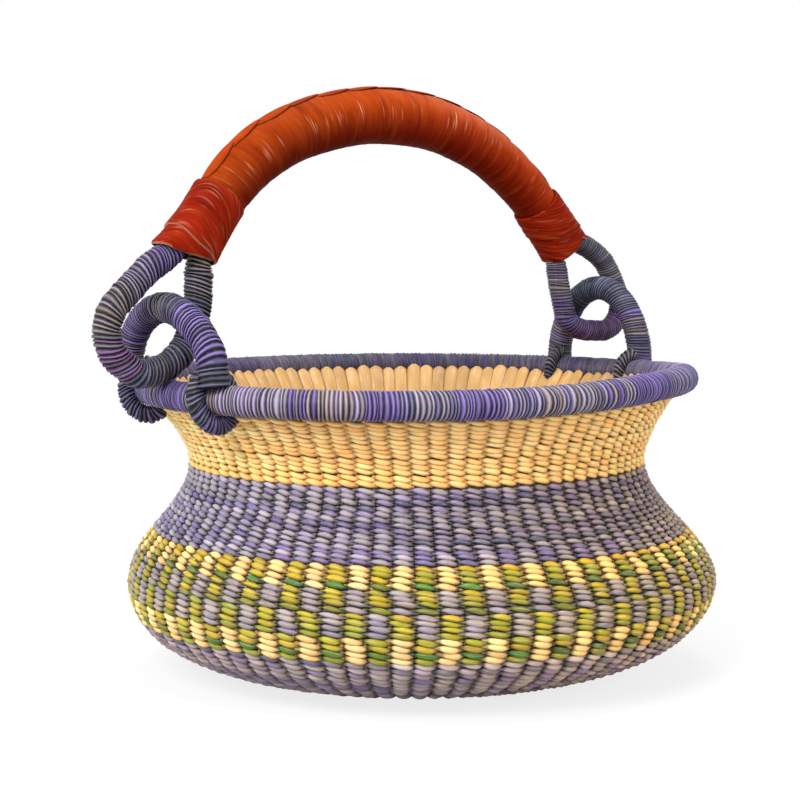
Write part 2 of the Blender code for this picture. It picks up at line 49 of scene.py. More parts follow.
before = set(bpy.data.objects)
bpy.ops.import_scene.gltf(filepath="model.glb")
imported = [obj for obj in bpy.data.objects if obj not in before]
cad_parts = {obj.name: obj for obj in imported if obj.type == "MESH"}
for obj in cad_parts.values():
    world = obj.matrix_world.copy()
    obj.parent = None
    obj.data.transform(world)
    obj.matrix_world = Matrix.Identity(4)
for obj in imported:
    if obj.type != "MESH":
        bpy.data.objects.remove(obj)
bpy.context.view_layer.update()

TAU = math.tau

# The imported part's sizes, in metres. The wound and padded ones are fitted to the photograph.
RIM_RADIUS = 0.0073
RIM_RING_RADIUS = 0.1385
RIM_HEIGHT = 0.146
BELLY_RADIUS = 0.1505
BASE_RADIUS = 0.070
BELLY_HEIGHT = 0.047
NECK_RADIUS = 0.1175
NECK_HEIGHT = 0.108
MOUTH_RADIUS = 0.1345
MOUTH_HEIGHT = 0.138
SHOULDER_SWEEP = 0.022
FLARE_SWEEP = 0.010
WALL_THICKNESS = 0.006
START_RADIUS = 0.018
HANDLE_OFFSET = 0.012
ARCH_MIDDLE = -0.007
ARCH_HALF_SPAN = 0.124
ARCH_FOOT_HEIGHT = 0.2125
ARCH_RISE = 0.0706
GRIP_RADII = ((0.0, 0.12, 0.25, 0.45, 0.6, 0.75, 0.9, 1.0),
              (0.0122, 0.0132, 0.0143, 0.0145, 0.0141, 0.0131, 0.0121, 0.0119))
CUFF_LENGTH = 0.040
CUFF_TUCK = 0.009
CUFF_SINK = 0.0030
CORE_END_INSET = 0.0191

# How near the rim's middle line the rows of the wall and the folded stake ends come
WALL_REACH = 0.0100
BORDER_REACH = 0.0063
BORDER_THICKNESS = 0.0018

# The belly of a basket made by hand is a little fuller low down, and leans to one side
FULLNESS = ((0.001, 0.006, 0.020, 0.045, 0.080), (-0.0003, 0.0004, 0.0015, 0.0014, 0.0))
LEAN = ((0.0, 0.02, 0.05, 0.09, 0.12, 0.138), (0.0012, 0.0026, 0.0045, 0.0024, 0.0010, 0.0))
LEAN_TURN = math.radians(-38)

# The mouth rises a little at the photograph's front right: how far, where, over what angle, and
# the height and the depth in which the wall takes it up
MOUTH_RISE = 0.0046
MOUTH_RISE_TURN = math.radians(-60)
MOUTH_RISE_SPREAD = math.radians(37)
MOUTH_RISE_FOOT = 0.118
MOUTH_RISE_DEPTH = 0.020

# Angles round the basket: a stake that stands at the front, and the photograph's side in degrees
FRONT_COLUMN = math.radians(-131.6)
FRONT_TURN = 232

# Rings and sides of the tubes that the pieces are made of
STRAND_SIDES = 6
STAKE_MESH = (60, 6)
FOLD_MESH = (15, 8)
RIM_SIDES, CORD_SIDES, RING_SIDES = 16, 14, 12
GRIP_MESH = (420, 32)
LEAF_MESH = (17, 12)
CUFF_MESH = (64, 72)

ARCH_SHARES = (
    (-1.0, 0.0), (-0.921, 0.203), (-0.833, 0.40), (-0.708, 0.622), (-0.565, 0.783),
    (-0.396, 0.902), (-0.21, 0.972), (-0.024, 1.0), (0.155, 0.979), (0.332, 0.909),
    (0.498, 0.79), (0.641, 0.636), (0.754, 0.483), (0.836, 0.329), (0.916, 0.168), (1.0, 0.0),
)
LEFT_LOOP_SHARES = (
    (-0.28, 1.01), (0.16, 0.88), (0.55, 0.72), (0.91, 0.56), (1.06, 0.39), (0.98, 0.21),
    (0.73, 0.085), (0.38, 0.0), (-0.12, 0.04), (-0.52, 0.17), (-0.71, 0.31), (-0.87, 0.54),
    (-0.90, 0.76), (-0.93, 0.95),
)
RIGHT_LOOP_SHARES = (
    (-0.78, 1.13), (-0.16, 1.01), (0.40, 0.84), (0.81, 0.55), (1.0, 0.32), (0.91, 0.14),
    (0.58, 0.01), (0.07, 0.0), (-0.44, 0.03), (-0.86, 0.14), (-1.0, 0.32), (-1.14, 0.55),
    (-1.28, 0.84), (-1.49, 1.01),
)
ENDS = {
    "left": {
        "sign": -1,
        "fineness": 1.0,
        "depth": 1.15,
        "bow": {"distance": 0.1415, "half_span": 0.0384, "rise": 0.0292, "spring": 0.013,
                "foot": 0.0060, "splay": 0.0022, "radius": 0.0075, "drift": -0.0010,
                "tuck_in": 0.0038},
        "ring": {"across": 0.0101, "up": 0.0121, "radius": 0.0048, "lean": 0.0034,
                 "hook": math.radians(30), "shift": -0.0016},
        "loop": {"middle": 0.1465, "half_width": 0.026, "bottom": 0.1570, "height": 0.057,
                 "radius": 0.0073, "spread": 0.0064, "shares": LEFT_LOOP_SHARES},
        "cuff": {"top": 0.0156, "width": 0.0190, "depth": 0.0116, "lift": 0.0000, "slant": 0.24,
                 "narrow": 0.0044, "dip": 0.0026},
    },
    "right": {
        "sign": 1,
        "fineness": 0.75,
        "depth": 0.55,
        "bow": {"distance": 0.1390, "half_span": 0.0288, "rise": 0.0395, "spring": 0.007,
                "foot": 0.0060, "splay": 0.0010, "radius": 0.0068, "drift": -0.0040,
                "tuck_in": 0.0},
        "ring": {"across": 0.0087, "up": 0.0103, "radius": 0.0036, "lean": 0.0015,
                 "hook": 0.0, "shift": 0.0},
        "loop": {"middle": 0.1365, "half_width": 0.0215, "bottom": 0.1685, "height": 0.046,
                 "radius": 0.0060, "spread": 0.0064, "shares": RIGHT_LOOP_SHARES},
        "cuff": {"top": 0.0142, "width": 0.0158, "depth": 0.0108, "lift": -0.0008, "slant": 0.22,
                 "narrow": 0.0012, "dip": 0.0},
    },
}


def colour(name, default, description):
    return FloatVectorProperty(
        name=name, description=description, default=default, subtype="COLOR", size=3, min=0, max=1
    )


def length(name, default, description):
    return FloatProperty(
        name=name, description=description, default=default, min=0, unit="LENGTH", precision=5
    )


def whole(name, default, least, description):
    return IntProperty(name=name, description=description, default=default, min=least)


def share(name, default, description):
    return FloatProperty(name=name, description=description, default=default)


def angle(name, degrees, description):
    return FloatProperty(
        name=name, description=description, default=math.radians(degrees), unit="ROTATION"
    )


class BASKET_PG_dyes(PropertyGroup):
    """Colours of the grass and the leather."""

    straw: colour("Straw", (1.0, 0.60, 0.195), "Natural grass of the neck, the base and the stakes")
    cream: colour("Cream", (1.0, 0.68, 0.28), "Pale natural grass in the checker")
    grey: colour("Grey", (0.27, 0.235, 0.28), "Grey part of the dyed weft")
    violet: colour("Violet", (0.15, 0.11, 0.265), "Violet part of the dyed weft")
    slate: colour("Slate", (0.050, 0.052, 0.095), "Darkest part of the dyed strip")
    olive: colour("Olive", (0.36, 0.33, 0.007), "Yellow green of the checker")
    green: colour("Green", (0.045, 0.13, 0.012), "Dark green rows of the checker")
    tan: colour("Tan", (0.36, 0.046, 0.003), "Leather of the grip")
    red: colour("Red", (0.26, 0.015, 0.003), "Leather of the cuffs")


class BASKET_PG_weave(PropertyGroup):
    """Sizes of the twining."""

    columns: whole("Columns", 86, 10, "Stakes round the wall, an even number")
    folds: whole("Folds", 112, 10, "Folded stake ends in the border inside the rim")
    swing: length("Swing", 0.0018, "How far a strand swings to each side of the wall's middle")
    thickness: length("Thickness", 0.0026, "Thickness of one strand of weft")
    lift: share("Lift", 0.22, "Rise and fall of a strand, as a share of a row")
    samples: whole("Samples", 6, 3, "Rings of each strand between two stakes")


class BASKET_PG_winding(PropertyGroup):
    """Sizes of the strip wound round rim and cords."""

    rim_pitch: length("Rim pitch", 0.0020, "Width of one turn on the rim")
    cord_pitch: length("Cord pitch", 0.0021, "Width of one turn on the bows and the loops")
    ring_pitch: length("Ring pitch", 0.0019, "Width of one turn on the rings")
    groove: length("Groove", 0.0011, "Depth between two turns")
    tilt: share("Tilt", 0.9, "Lean of a turn across the cord, as a share of its width")
    samples: whole("Samples", 6, 4, "Rings of mesh in each turn")


class BASKET_PG_leather(PropertyGroup):
    """Sizes of the leather."""

    wrinkle: length("Wrinkle", 0.00022, "Depth of the leather's cross wrinkles")
    lump: length("Lump", 0.0005, "Depth of the grip's broad lumps")
    stitches: whole("Stitches", 13, 4, "Leaves of lacing on the grip")
    leaf_width: length("Leaf width", 0.0105, "Width of one leaf of the lacing")
    leaf_thickness: length("Leaf thickness", 0.0009, "Thickness of one leaf of the lacing")


class BASKET_PG_stage(PropertyGroup):
    """Camera, floor and lamps."""

    distance: length("Distance", 1.080, "Camera to the basket's axis, along the floor")
    height: length("Height", 0.2282, "Camera above the floor")
    side_step: length("Side step", 0.0070, "Camera's step to the left of the axis")
    turn: angle("Turn", -38, "Camera's way round the basket")
    pitch: angle("Pitch", 4.81, "Camera's look down")
    lens: FloatProperty(
        name="Lens", description="Focal length on a 36 mm sensor", default=94.32, unit="CAMERA"
    )


def settings():
    return bpy.context.scene.basket_settings


class BASKET_PG_settings(PropertyGroup):
    """All settings of the basket."""

    dyes: PointerProperty(type=BASKET_PG_dyes)
    weave: PointerProperty(type=BASKET_PG_weave)
    winding: PointerProperty(type=BASKET_PG_winding)
    leather: PointerProperty(type=BASKET_PG_leather)
    stage: PointerProperty(type=BASKET_PG_stage)


# Shader nodes


class Value:
    """A number that varies over a surface. Sums and products of it add Math nodes."""

    def __init__(self, finish, socket):
        self.finish = finish
        self.socket = socket

    def combine(self, operation, first, second):
        return self.finish.node("ShaderNodeMath", {"operation": operation}, {0: first, 1: second})

    def __add__(self, other):
        return self.combine("ADD", self, other)

    def __radd__(self, other):
        return self.combine("ADD", other, self)

    def __sub__(self, other):
        return self.combine("SUBTRACT", self, other)

    def __rsub__(self, other):
        return self.combine("SUBTRACT", other, self)

    def __mul__(self, other):
        return self.combine("MULTIPLY", self, other)

    def __rmul__(self, other):
        return self.combine("MULTIPLY", other, self)


class Finish:
    """The nodes of one material, or of the world, and what feeds its shader."""

    def __init__(self, owner):
        owner.use_nodes = True
        self.owner = owner
        self.nodes = owner.node_tree.nodes
        self.links = owner.node_tree.links
        self.shader = self.nodes.get("Principled BSDF")

    def node(self, kind, settings=None, sockets=None, output=0):
        """Adds a node, sets it, feeds its sockets and gives back one output, if it has any."""
        made = self.nodes.new(kind)
        for key, value in (settings or {}).items():
            setattr(made, key, value)
        for key, value in (sockets or {}).items():
            self.feed(made.inputs[key], value)
        return Value(self, made.outputs[output]) if made.outputs else None

    def feed(self, socket, value):
        if isinstance(value, Value):
            self.links.new(value.socket, socket)
        else:
            socket.default_value = value

    def surface(self, **sockets):
        for name, value in sockets.items():
            self.feed(self.shader.inputs[name.replace("_", " ")], value)
        return self.owner

    def mix(self, factor, first, second, blend="MIX"):
        """Mixes two colours."""
        return self.node(
            "ShaderNodeMix",
            {"data_type": "RGBA", "blend_type": blend},
            {0: factor, 6: first, 7: second},
            output=2,
        )

    def darkened(self, factor, colour, shade):
        """Multiplies a colour by a shade, where the factor says so."""
        return self.mix(factor, colour, (*shade, 1), "MULTIPLY")

    def spread(self, value, low, high):
        """Turns a range of a value into 0 to 1."""
        sockets = {"Value": value, "From Min": low, "From Max": high}
        return self.node("ShaderNodeMapRange", {"clamp": True}, sockets)

    def piece_map(self):
        return self.node("ShaderNodeUVMap", {"uv_map": "UVMap"})

    def noise(self, along, scale, detail, roughness):
        """Noise on a piece's map, scaled along it and across it."""
        scaled = self.node("ShaderNodeMapping", None, {"Vector": along, "Scale": (*scale, 1.0)})
        sockets = {"Vector": scaled, "Scale": 1.0, "Detail": detail, "Roughness": roughness}
        return self.node("ShaderNodeTexNoise", {"noise_dimensions": "3D"}, sockets)

    def attribute(self, name, output="Fac"):
        settings = {"attribute_type": "GEOMETRY", "attribute_name": name}
        return self.node("ShaderNodeAttribute", settings, output=output)

    def bump(self, height, strength, distance):
        sockets = {"Height": height, "Strength": strength, "Distance": distance}
        return self.node("ShaderNodeBump", None, sockets)


finishes = {}

# Shades that grass and leather are multiplied by (worn patches, mottling, and painted shade in
# creases and recesses), and colours that they are mixed with (painted light on crease ridges and
# painted highlight streaks)
WORN_GRASS = (0.45, 0.42, 0.42)
GRASS_PAINTED_SHADE = (0.04, 0.03, 0.035)
MOTTLED_LEATHER = (0.70, 0.42, 0.36)
LEATHER_CREASE_SHADE = (0.50, 0.30, 0.3)
LEATHER_PAINTED_SHADE = (0.12, 0.05, 0.05)
LIT_LEATHER = (0.55, 0.09, 0.006, 1)
LEATHER_STREAK_HIGHLIGHT = (0.86, 0.42, 0.26, 1)


def grass_finish(name, specular, fineness, pale_fibre_highlight, worn_share):
    """Grass strip: fine fibres along the strand, pale fibres that are partly a painted highlight,
    and painted shade where a strand dives behind another.
    """
    if name in finishes:
        return finishes[name]
    finish = Finish(bpy.data.materials.new(name))
    finishes[name] = finish.owner
    along = finish.piece_map()
    fibres = finish.noise(along, fineness, 3.0, 0.6)
    blotches = finish.noise(along, (0.8, 2.2), 2.0, 0.5)
    painted_shade = finish.attribute("painted_shade")
    dye = finish.attribute("dye", "Color")
    # Pale fibres, partly a painted highlight
    light = finish.mix(finish.spread(fibres, 0.50, 0.78) * 0.30, dye, (*pale_fibre_highlight, 1))
    marked = finish.darkened(finish.spread(blotches, 0.45, 0.75) * worn_share, light, WORN_GRASS)
    return finish.surface(
        Base_Color=finish.darkened(painted_shade * painted_shade, marked, GRASS_PAINTED_SHADE),
        Roughness=0.38 + finish.spread(fibres, 0.3, 0.8) * 0.18,
        Specular_IOR_Level=specular,
        Normal=finish.bump(fibres, 0.5, 0.0003),
    )


def twined_grass():
    return grass_finish("twined_grass", 0.36, (1.3, 12.0), (1.0, 0.90, 0.80), 0.40)


def wound_grass():
    return grass_finish("wound_grass", 0.24, (7.0, 5.0), (0.60, 0.56, 0.66), 0.75)


def leather_finish(name):
    """Tanned leather: mottled, with painted light and shade on its creases and painted highlight
    streaks.
    """
    if name in finishes:
        return finishes[name]
    finish = Finish(bpy.data.materials.new(name))
    finishes[name] = finish.owner
    along = finish.piece_map()
    mottle = finish.noise(along, (0.9, 2.0), 4.0, 0.6)
    creases = finish.noise(along, (4.5, 2.6), 3.0, 0.55)
    streaks = finish.noise(along, (8.0, 5.0), 1.0, 0.4)
    grain = finish.noise(along, (14.0, 120.0), 2.0, 0.5)
    dye = finish.attribute("dye", "Color")
    toned = finish.darkened(finish.spread(mottle, 0.42, 0.68) * 0.6, dye, MOTTLED_LEATHER)
    # Painted light on the ridges of the creases, painted shade in their hollows, and painted
    # highlight streaks
    lit = finish.mix(finish.spread(creases, 0.52, 0.74) * 0.20, toned, LIT_LEATHER)
    dark = finish.darkened(finish.spread(creases, 0.46, 0.30) * 0.22, lit, LEATHER_CREASE_SHADE)
    streak_highlight = finish.spread(streaks, 0.60, 0.74) * finish.attribute("streak_highlight")
    highlighted = finish.mix(streak_highlight, dark, LEATHER_STREAK_HIGHLIGHT)
    return finish.surface(
        Base_Color=finish.darkened(finish.attribute("painted_shade"), highlighted, LEATHER_PAINTED_SHADE),
        Roughness=0.44 + finish.spread(mottle, 0.3, 0.7) * 0.16,
        Specular_IOR_Level=0.02,
        Normal=finish.bump(creases * 0.8 + grain * 0.2, 0.5, 0.0005),
    )


# Lines and tubes


def smooth_line(points, steps=12):
    """A smooth line through the points, as a close run of points."""
    points = [Vector(point) for point in points]
    line = []
    for i in range(len(points) - 1):
        before = points[max(0, i - 1)]
        after = points[min(i + 2, len(points) - 1)]
        start, end = points[i], points[i + 1]
        lead = start + (end - before) / 6
        trail = end - (after - start) / 6
        line += interpolate_bezier(start, lead, trail, end, steps + 1)[:-1]
    line.append(points[-1])
    return line


class Route:
    """A line read by distance: place, direction and a sideways pair that doesn't twist."""

    def __init__(self, points, closed=False, side=(0, 1, 0)):
        line = np.array([tuple(point) for point in points], float)
        if closed:
            line = np.vstack([line, line[:1]])
        gaps = np.linalg.norm(np.diff(line, axis=0), axis=1)
        self.marks = np.concatenate([[0], np.cumsum(gaps)])
        self.line = line
        self.total = self.marks[-1]
        self.closed = closed
        self.side = np.array(side, float)

    def at(self, distances):
        wrapped = np.mod(distances, self.total) if self.closed else distances
        return np.column_stack([np.interp(wrapped, self.marks, self.line[:, i]) for i in range(3)])

    def frames(self, distances, reach=0.0015):
        """Places, directions, and two unit vectors square to the line."""
        places = self.at(distances)
        middle = distances if self.closed else np.clip(distances, reach, self.total - reach)
        low, high = middle - reach, middle + reach
        forward = self.at(high) - self.at(low)
        forward /= np.linalg.norm(forward, axis=1, keepdims=True)
        sideways = self.side - forward * (forward @ self.side)[:, None]
        sideways /= np.linalg.norm(sideways, axis=1, keepdims=True)
        return places, forward, sideways, np.cross(forward, sideways)


def ringed_tube(rings, sides, closed):
    """A bent tube of so many rings and sides, and the ring and side number of each point."""
    steps = rings if closed else rings - 1
    sweep = TAU if closed else TAU / 2
    bm = bmesh.new()
    bmesh.ops.create_grid(bm, x_segments=steps, y_segments=sides, size=0.5)
    for vert in bm.verts:
        turn, roll = (vert.co.x + 0.5) * sweep, (vert.co.y + 0.5) * TAU
        reach = 2 + math.cos(roll)
        vert.co = (reach * math.cos(turn), reach * math.sin(turn), math.sin(roll))
    bmesh.ops.remove_doubles(bm, verts=bm.verts, dist=1e-5)
    if not closed:
        ends = [edge for edge in bm.edges if edge.is_boundary]
        bmesh.ops.holes_fill(bm, edges=ends, sides=sides)
    mesh = bpy.data.meshes.new("tube")
    bm.to_mesh(mesh)
    bm.free()
    x, y, z = point_places(mesh).T
    ring = np.rint(np.mod(np.arctan2(y, x) + 1e-5, TAU) / sweep * steps).astype(int)
    if closed:
        ring %= rings
    side = np.rint(np.arctan2(z, np.hypot(x, y) - 2) / TAU * sides).astype(int) % sides
    return mesh, ring, side


def point_places(mesh):
    spots = np.empty(len(mesh.vertices) * 3)
    mesh.vertices.foreach_get("co", spots)
    return spots.reshape(-1, 3)


def whole_numbers(items, name, width=1):
    found = np.empty(len(items) * width, np.int32)
    items.foreach_get(name, found)
    return found


def outward(mesh):
    """Turns the faces outwards if the points were placed the other way round."""
    mesh.calc_loop_triangles()
    corners = whole_numbers(mesh.loop_triangles, "vertices", 3).reshape(-1, 3)
    a, b, c = point_places(mesh)[corners].transpose(1, 0, 2)
    if np.einsum("ij,ij->", a, np.cross(b, c)) < 0:
        mesh.flip_normals()


def paint(mesh, name, values):
    """Stores a colour or a number for each point."""
    if values.ndim == 2:
        layer = mesh.attributes.new(name, "FLOAT_COLOR", "POINT")
        rgba = np.ones((len(values), 4))
        rgba[:, :3] = values
        layer.data.foreach_set("color", rgba.ravel())
    else:
        layer = mesh.attributes.new(name, "FLOAT", "POINT")
        layer.data.foreach_set("value", values.astype(np.float32))


class Tubes:
    """A mesh of like tubes, with the place, the colour and the map of each point, tube by tube."""

    def __init__(self, name, count, rings, sides, closed=False):
        tube, self.ring, self.side = ringed_tube(rings, sides, closed)
        bm = bmesh.new()
        for _ in range(count):
            bm.from_mesh(tube)
        self.mesh = bpy.data.meshes.new(name)
        bm.to_mesh(self.mesh)
        bm.free()
        bpy.data.meshes.remove(tube)
        self.count, self.rings, self.sides, self.closed = count, rings, sides, closed
        self.around = self.side * TAU / sides
        self.share = self.ring / (rings - 1)
        self.parts = []

    def add(self, places, dye, painted_shade, along, row=0):
        """The next tube: places, dye, its painted shade, and its map along it and by row."""
        count = len(places)
        self.parts.append((
            places, np.broadcast_to(dye, (count, 3)), np.broadcast_to(painted_shade, count),
            np.broadcast_to(along, count), np.full(count, float(row)),
        ))

    def finished(self, turns=0, streak_highlight=None):
        """The mesh, with U up to so many turns round a closed tube and V once round its side."""
        places, dyes, painted_shades, along, rows = (np.concatenate(part) for part in zip(*self.parts))
        mesh = self.mesh
        mesh.vertices.foreach_set("co", places.ravel())
        outward(mesh)
        paint(mesh, "dye", np.clip(dyes, 0, 1))
        paint(mesh, "painted_shade", painted_shades)
        if streak_highlight is not None:
            paint(mesh, "streak_highlight", np.broadcast_to(streak_highlight, len(painted_shades)))
        ring, side = np.tile(self.ring, self.count), np.tile(self.side, self.count)
        corners = whole_numbers(mesh.loops, "vertex_index")
        starts = whole_numbers(mesh.polygons, "loop_start")
        counts = whole_numbers(mesh.polygons, "loop_total")
        u = along[corners].astype(float)
        v = side[corners] / self.sides
        quads = starts[counts == 4][:, None] + np.arange(4)
        seam = side[corners[quads]]
        v[quads] += (seam == 0) & (seam.max(axis=1) == self.sides - 1)[:, None]
        if self.closed:
            seam = ring[corners[quads]]
            u[quads] += ((seam == 0) & (seam.max(axis=1) == self.rings - 1)[:, None]) * turns
        v += rows[corners]
        layer = mesh.uv_layers.new(name="UVMap")
        layer.data.foreach_set("uv", np.column_stack([u, v]).ravel())
        return mesh


def turned_about(aside, up, around):
    """Unit vectors at angles round a line, from its two crosswise vectors."""
    return aside * np.cos(around)[:, None] + up * np.sin(around)[:, None]


def eased(values, power):
    """The values with their signs kept and their sizes raised to a power."""
    return np.sign(values) * np.abs(values) ** power


def piece(name, mesh, finish, body, slot, *nodes):
    """An object for the mesh, riding on its body and standing for its nodes."""
    mesh.name = name
    mesh.shade_smooth()
    mesh.materials.append(finish)
    made = bpy.data.objects.new(name, mesh)
    bpy.context.scene.collection.objects.link(made)
    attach(made, body)
    if nodes:
        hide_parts(*nodes)


# Wall

OUTLINE_STEPS = 96
WALL_MARKS = 1600
SLOPE_WINDOW = 25


def wall_points():
    """The wall's outer outline, from the centre of the base to the mouth, as radius and height."""
    line = [(0, 0), (BASE_RADIUS, 0)]
    for i in range(1, OUTLINE_STEPS + 1):
        angle = TAU / 4 * i / OUTLINE_STEPS
        radius = BASE_RADIUS + (BELLY_RADIUS - BASE_RADIUS) * math.sin(angle)
        line.append((radius, BELLY_HEIGHT * (1 - math.cos(angle))))
    belly = Vector((BELLY_RADIUS, BELLY_HEIGHT))
    neck = Vector((NECK_RADIUS, NECK_HEIGHT))
    mouth = Vector((MOUTH_RADIUS, MOUTH_HEIGHT))
    up = Vector((0, SHOULDER_SWEEP))
    flare_up = Vector((0, FLARE_SWEEP))
    flare_out = Vector((-FLARE_SWEEP, -FLARE_SWEEP)) * math.sqrt(0.5)
    shoulder = interpolate_bezier(belly, belly + up, neck - up, neck, OUTLINE_STEPS)
    flare = interpolate_bezier(neck, neck + flare_up, mouth + flare_out, mouth, OUTLINE_STEPS)
    line += [tuple(point)[:2] for point in shoulder[1:] + flare[1:]]
    return np.array(line, float)


def risen(height, azimuth):
    """How far the mouth's rise lifts what is at a height and at an angle round the basket."""
    turn = np.mod(azimuth - MOUTH_RISE_TURN + math.pi, TAU) - math.pi
    share = np.clip((height - MOUTH_RISE_FOOT) / MOUTH_RISE_DEPTH, 0, 1)
    return MOUTH_RISE * np.exp(-(turn / MOUTH_RISE_SPREAD) ** 2) * share


class Wall:
    """The middle of the wall by distance along its outline, with the direction out of it."""

    def __init__(self):
        points = wall_points()
        gaps = np.linalg.norm(np.diff(points, axis=0), axis=1)
        marks = np.concatenate([[0], np.cumsum(gaps)])
        self.total = marks[-1]
        self.marks = np.linspace(0, self.total, WALL_MARKS)
        self.outer = np.column_stack([np.interp(self.marks, marks, points[:, i]) for i in (0, 1)])
        slope = np.gradient(self.outer, axis=0)
        window = np.ones(SLOPE_WINDOW) / SLOPE_WINDOW
        for i in (0, 1):
            padded = np.pad(slope[:, i], SLOPE_WINDOW // 2, mode="edge")
            slope[:, i] = np.convolve(padded, window, "valid")
        slope /= np.linalg.norm(slope, axis=1, keepdims=True)
        self.out = np.column_stack([slope[:, 1], -slope[:, 0]])
        self.depth = WALL_THICKNESS / 2

    def at_height(self, height):
        rising = self.marks > BASE_RADIUS
        return float(np.interp(height, self.outer[rising, 1], self.marks[rising]))

    def below_rim(self, reach):
        """Distance along the outline where the wall's middle comes that near the rim's middle."""
        middle = self.outer - self.out * self.depth
        gap = np.hypot(middle[:, 0] - RIM_RING_RADIUS, middle[:, 1] - RIM_HEIGHT)
        near = np.flatnonzero((gap < reach) & (self.marks > BASE_RADIUS))
        return float(self.marks[near[0]]) if len(near) else self.total

    def place(self, distance, stand, azimuth):
        """Points at distances along the wall, standing off its middle, at angles round it."""
        height = np.interp(distance, self.marks, self.outer[:, 1])
        off = stand - self.depth + np.interp(height, *FULLNESS)
        values = [
            np.interp(distance, self.marks, self.outer[:, i])
            + off * np.interp(distance, self.marks, self.out[:, i])
            for i in (0, 1)
        ]
        lean = np.interp(height, *LEAN)
        return np.column_stack([
            values[0] * np.cos(azimuth) + lean * math.cos(LEAN_TURN),
            values[0] * np.sin(azimuth) + lean * math.sin(LEAN_TURN),
            values[1] + risen(height, azimuth),
        ])


# Twining

# Heights at which the wall's outer surface changes colour, from the bottom
BAND_HEIGHTS = (0.0293, 0.0417, 0.0529, 0.0632, 0.0734, 0.106)

# The base: where its first row starts, where it gains columns, and how many rows each part has
BASE_START = 0.0008
BASE_STEP = 0.037
START_ROWS, INNER_ROWS, OUTER_ROWS = 5, 5, 8
START_COLUMNS, INNER_COLUMNS = 22, 44

# Rows of the bands above the checker, and the first and the last width of the rows below it
SHOULDER_ROWS, NECK_ROWS = 14, 13
FOOT_PITCHES = (0.0036, 0.0050)

# How uneven the stitches are: along the row, in fullness, outwards, and up and down
STITCH_WANDER = 0.07
STITCH_FULLNESS = 0.09
STITCH_PROUD = 0.00012
STITCH_DRIFT = 0.05
ROW_WAVE = 0.00022

# A strand's way past the stakes: more outside than inside, a little late, and flat on its crests
OUTWARD_BIAS = 0.35
SKEW = 0.25
SWING_POWER = 0.6

# A stitch's outline: a little wider than its row, with a waist that is slimmer where it dives
STITCH_REACH = 1.06
STITCH_POWER = 0.9
WAIST_RISE = 0.16
WAIST_DIVE = 0.22
THICKNESS_LOW, THICKNESS_SWELL = 0.72, 0.33

# Where a stitch lies in shade: at its two ends, and under and over it
END_SHARPNESS = 1.4
END_REACH, END_DIVE = 0.52, 0.36
UNDER_SHADE, OVER_SHADE = 0.80, 0.30

# Tints of a stitch: all over it, and painted light where it comes up and painted shade where it
# dives
STITCH_TINT = np.array((1.06, 1.02, 0.98))
DIVE_LIGHT_AND_SHADE = np.array((0.06, 0.12, 0.20))
BROWN_TINT = np.array((0.14, -0.04, -0.42))
FLANK_LIGHT_TINT = np.array((0.14, 0.28, 0.40))

# How the tone differs from run to run of a strand, and from stitch to stitch
RUN_TONES = (0.84, 1.14)
STITCH_TONES = (0.80, 1.08)


def browned_and_lit(azimuth, browning, paling):
    """Tints that brown a dye on the right side seen from the front, and paint light on its left
    side.
    """
    right = np.sin(azimuth - FRONT_COLUMN)[:, None]
    brown = 1 + np.clip(right, 0, 1) * browning * BROWN_TINT
    return brown * (1 + np.clip(-right * 1.5 - 0.4, 0, 1) * paling * FLANK_LIGHT_TINT)


def tones(rng, count, dyes, row):
    """Colours of one strand, stitch by stitch: it changes tone along its runs of grass."""
    shares = row.shares or [1 / len(dyes)] * len(dyes)
    picked = np.zeros((count, 3))
    i = 0
    while i < count:
        reach = int(rng.integers(*row.run))
        pair = rng.choice(len(dyes), 2, p=shares)
        tone = dyes[pair[0]] * (1 - row.mixing) + dyes[pair[1]] * row.mixing
        picked[i:i + reach] = tone * (1 + row.variety * (rng.uniform(*RUN_TONES) - 1))
        i += reach
    return picked * (1 + row.variety * (rng.uniform(*STITCH_TONES, (count, 1)) - 1))


@dataclass
class Row:
    """One row of twining: where it runs, how high it is, and the looks of its two strands."""

    distance: float
    pitch: float
    dyes: tuple
    shares: list = None
    run: tuple = (7, 26)
    mixing: float = 0.35
    waist: float = 0.34
    shade: float = 1.0
    variety: float = 1.0
    browning: float = 1.0
    paling: float = 0.0


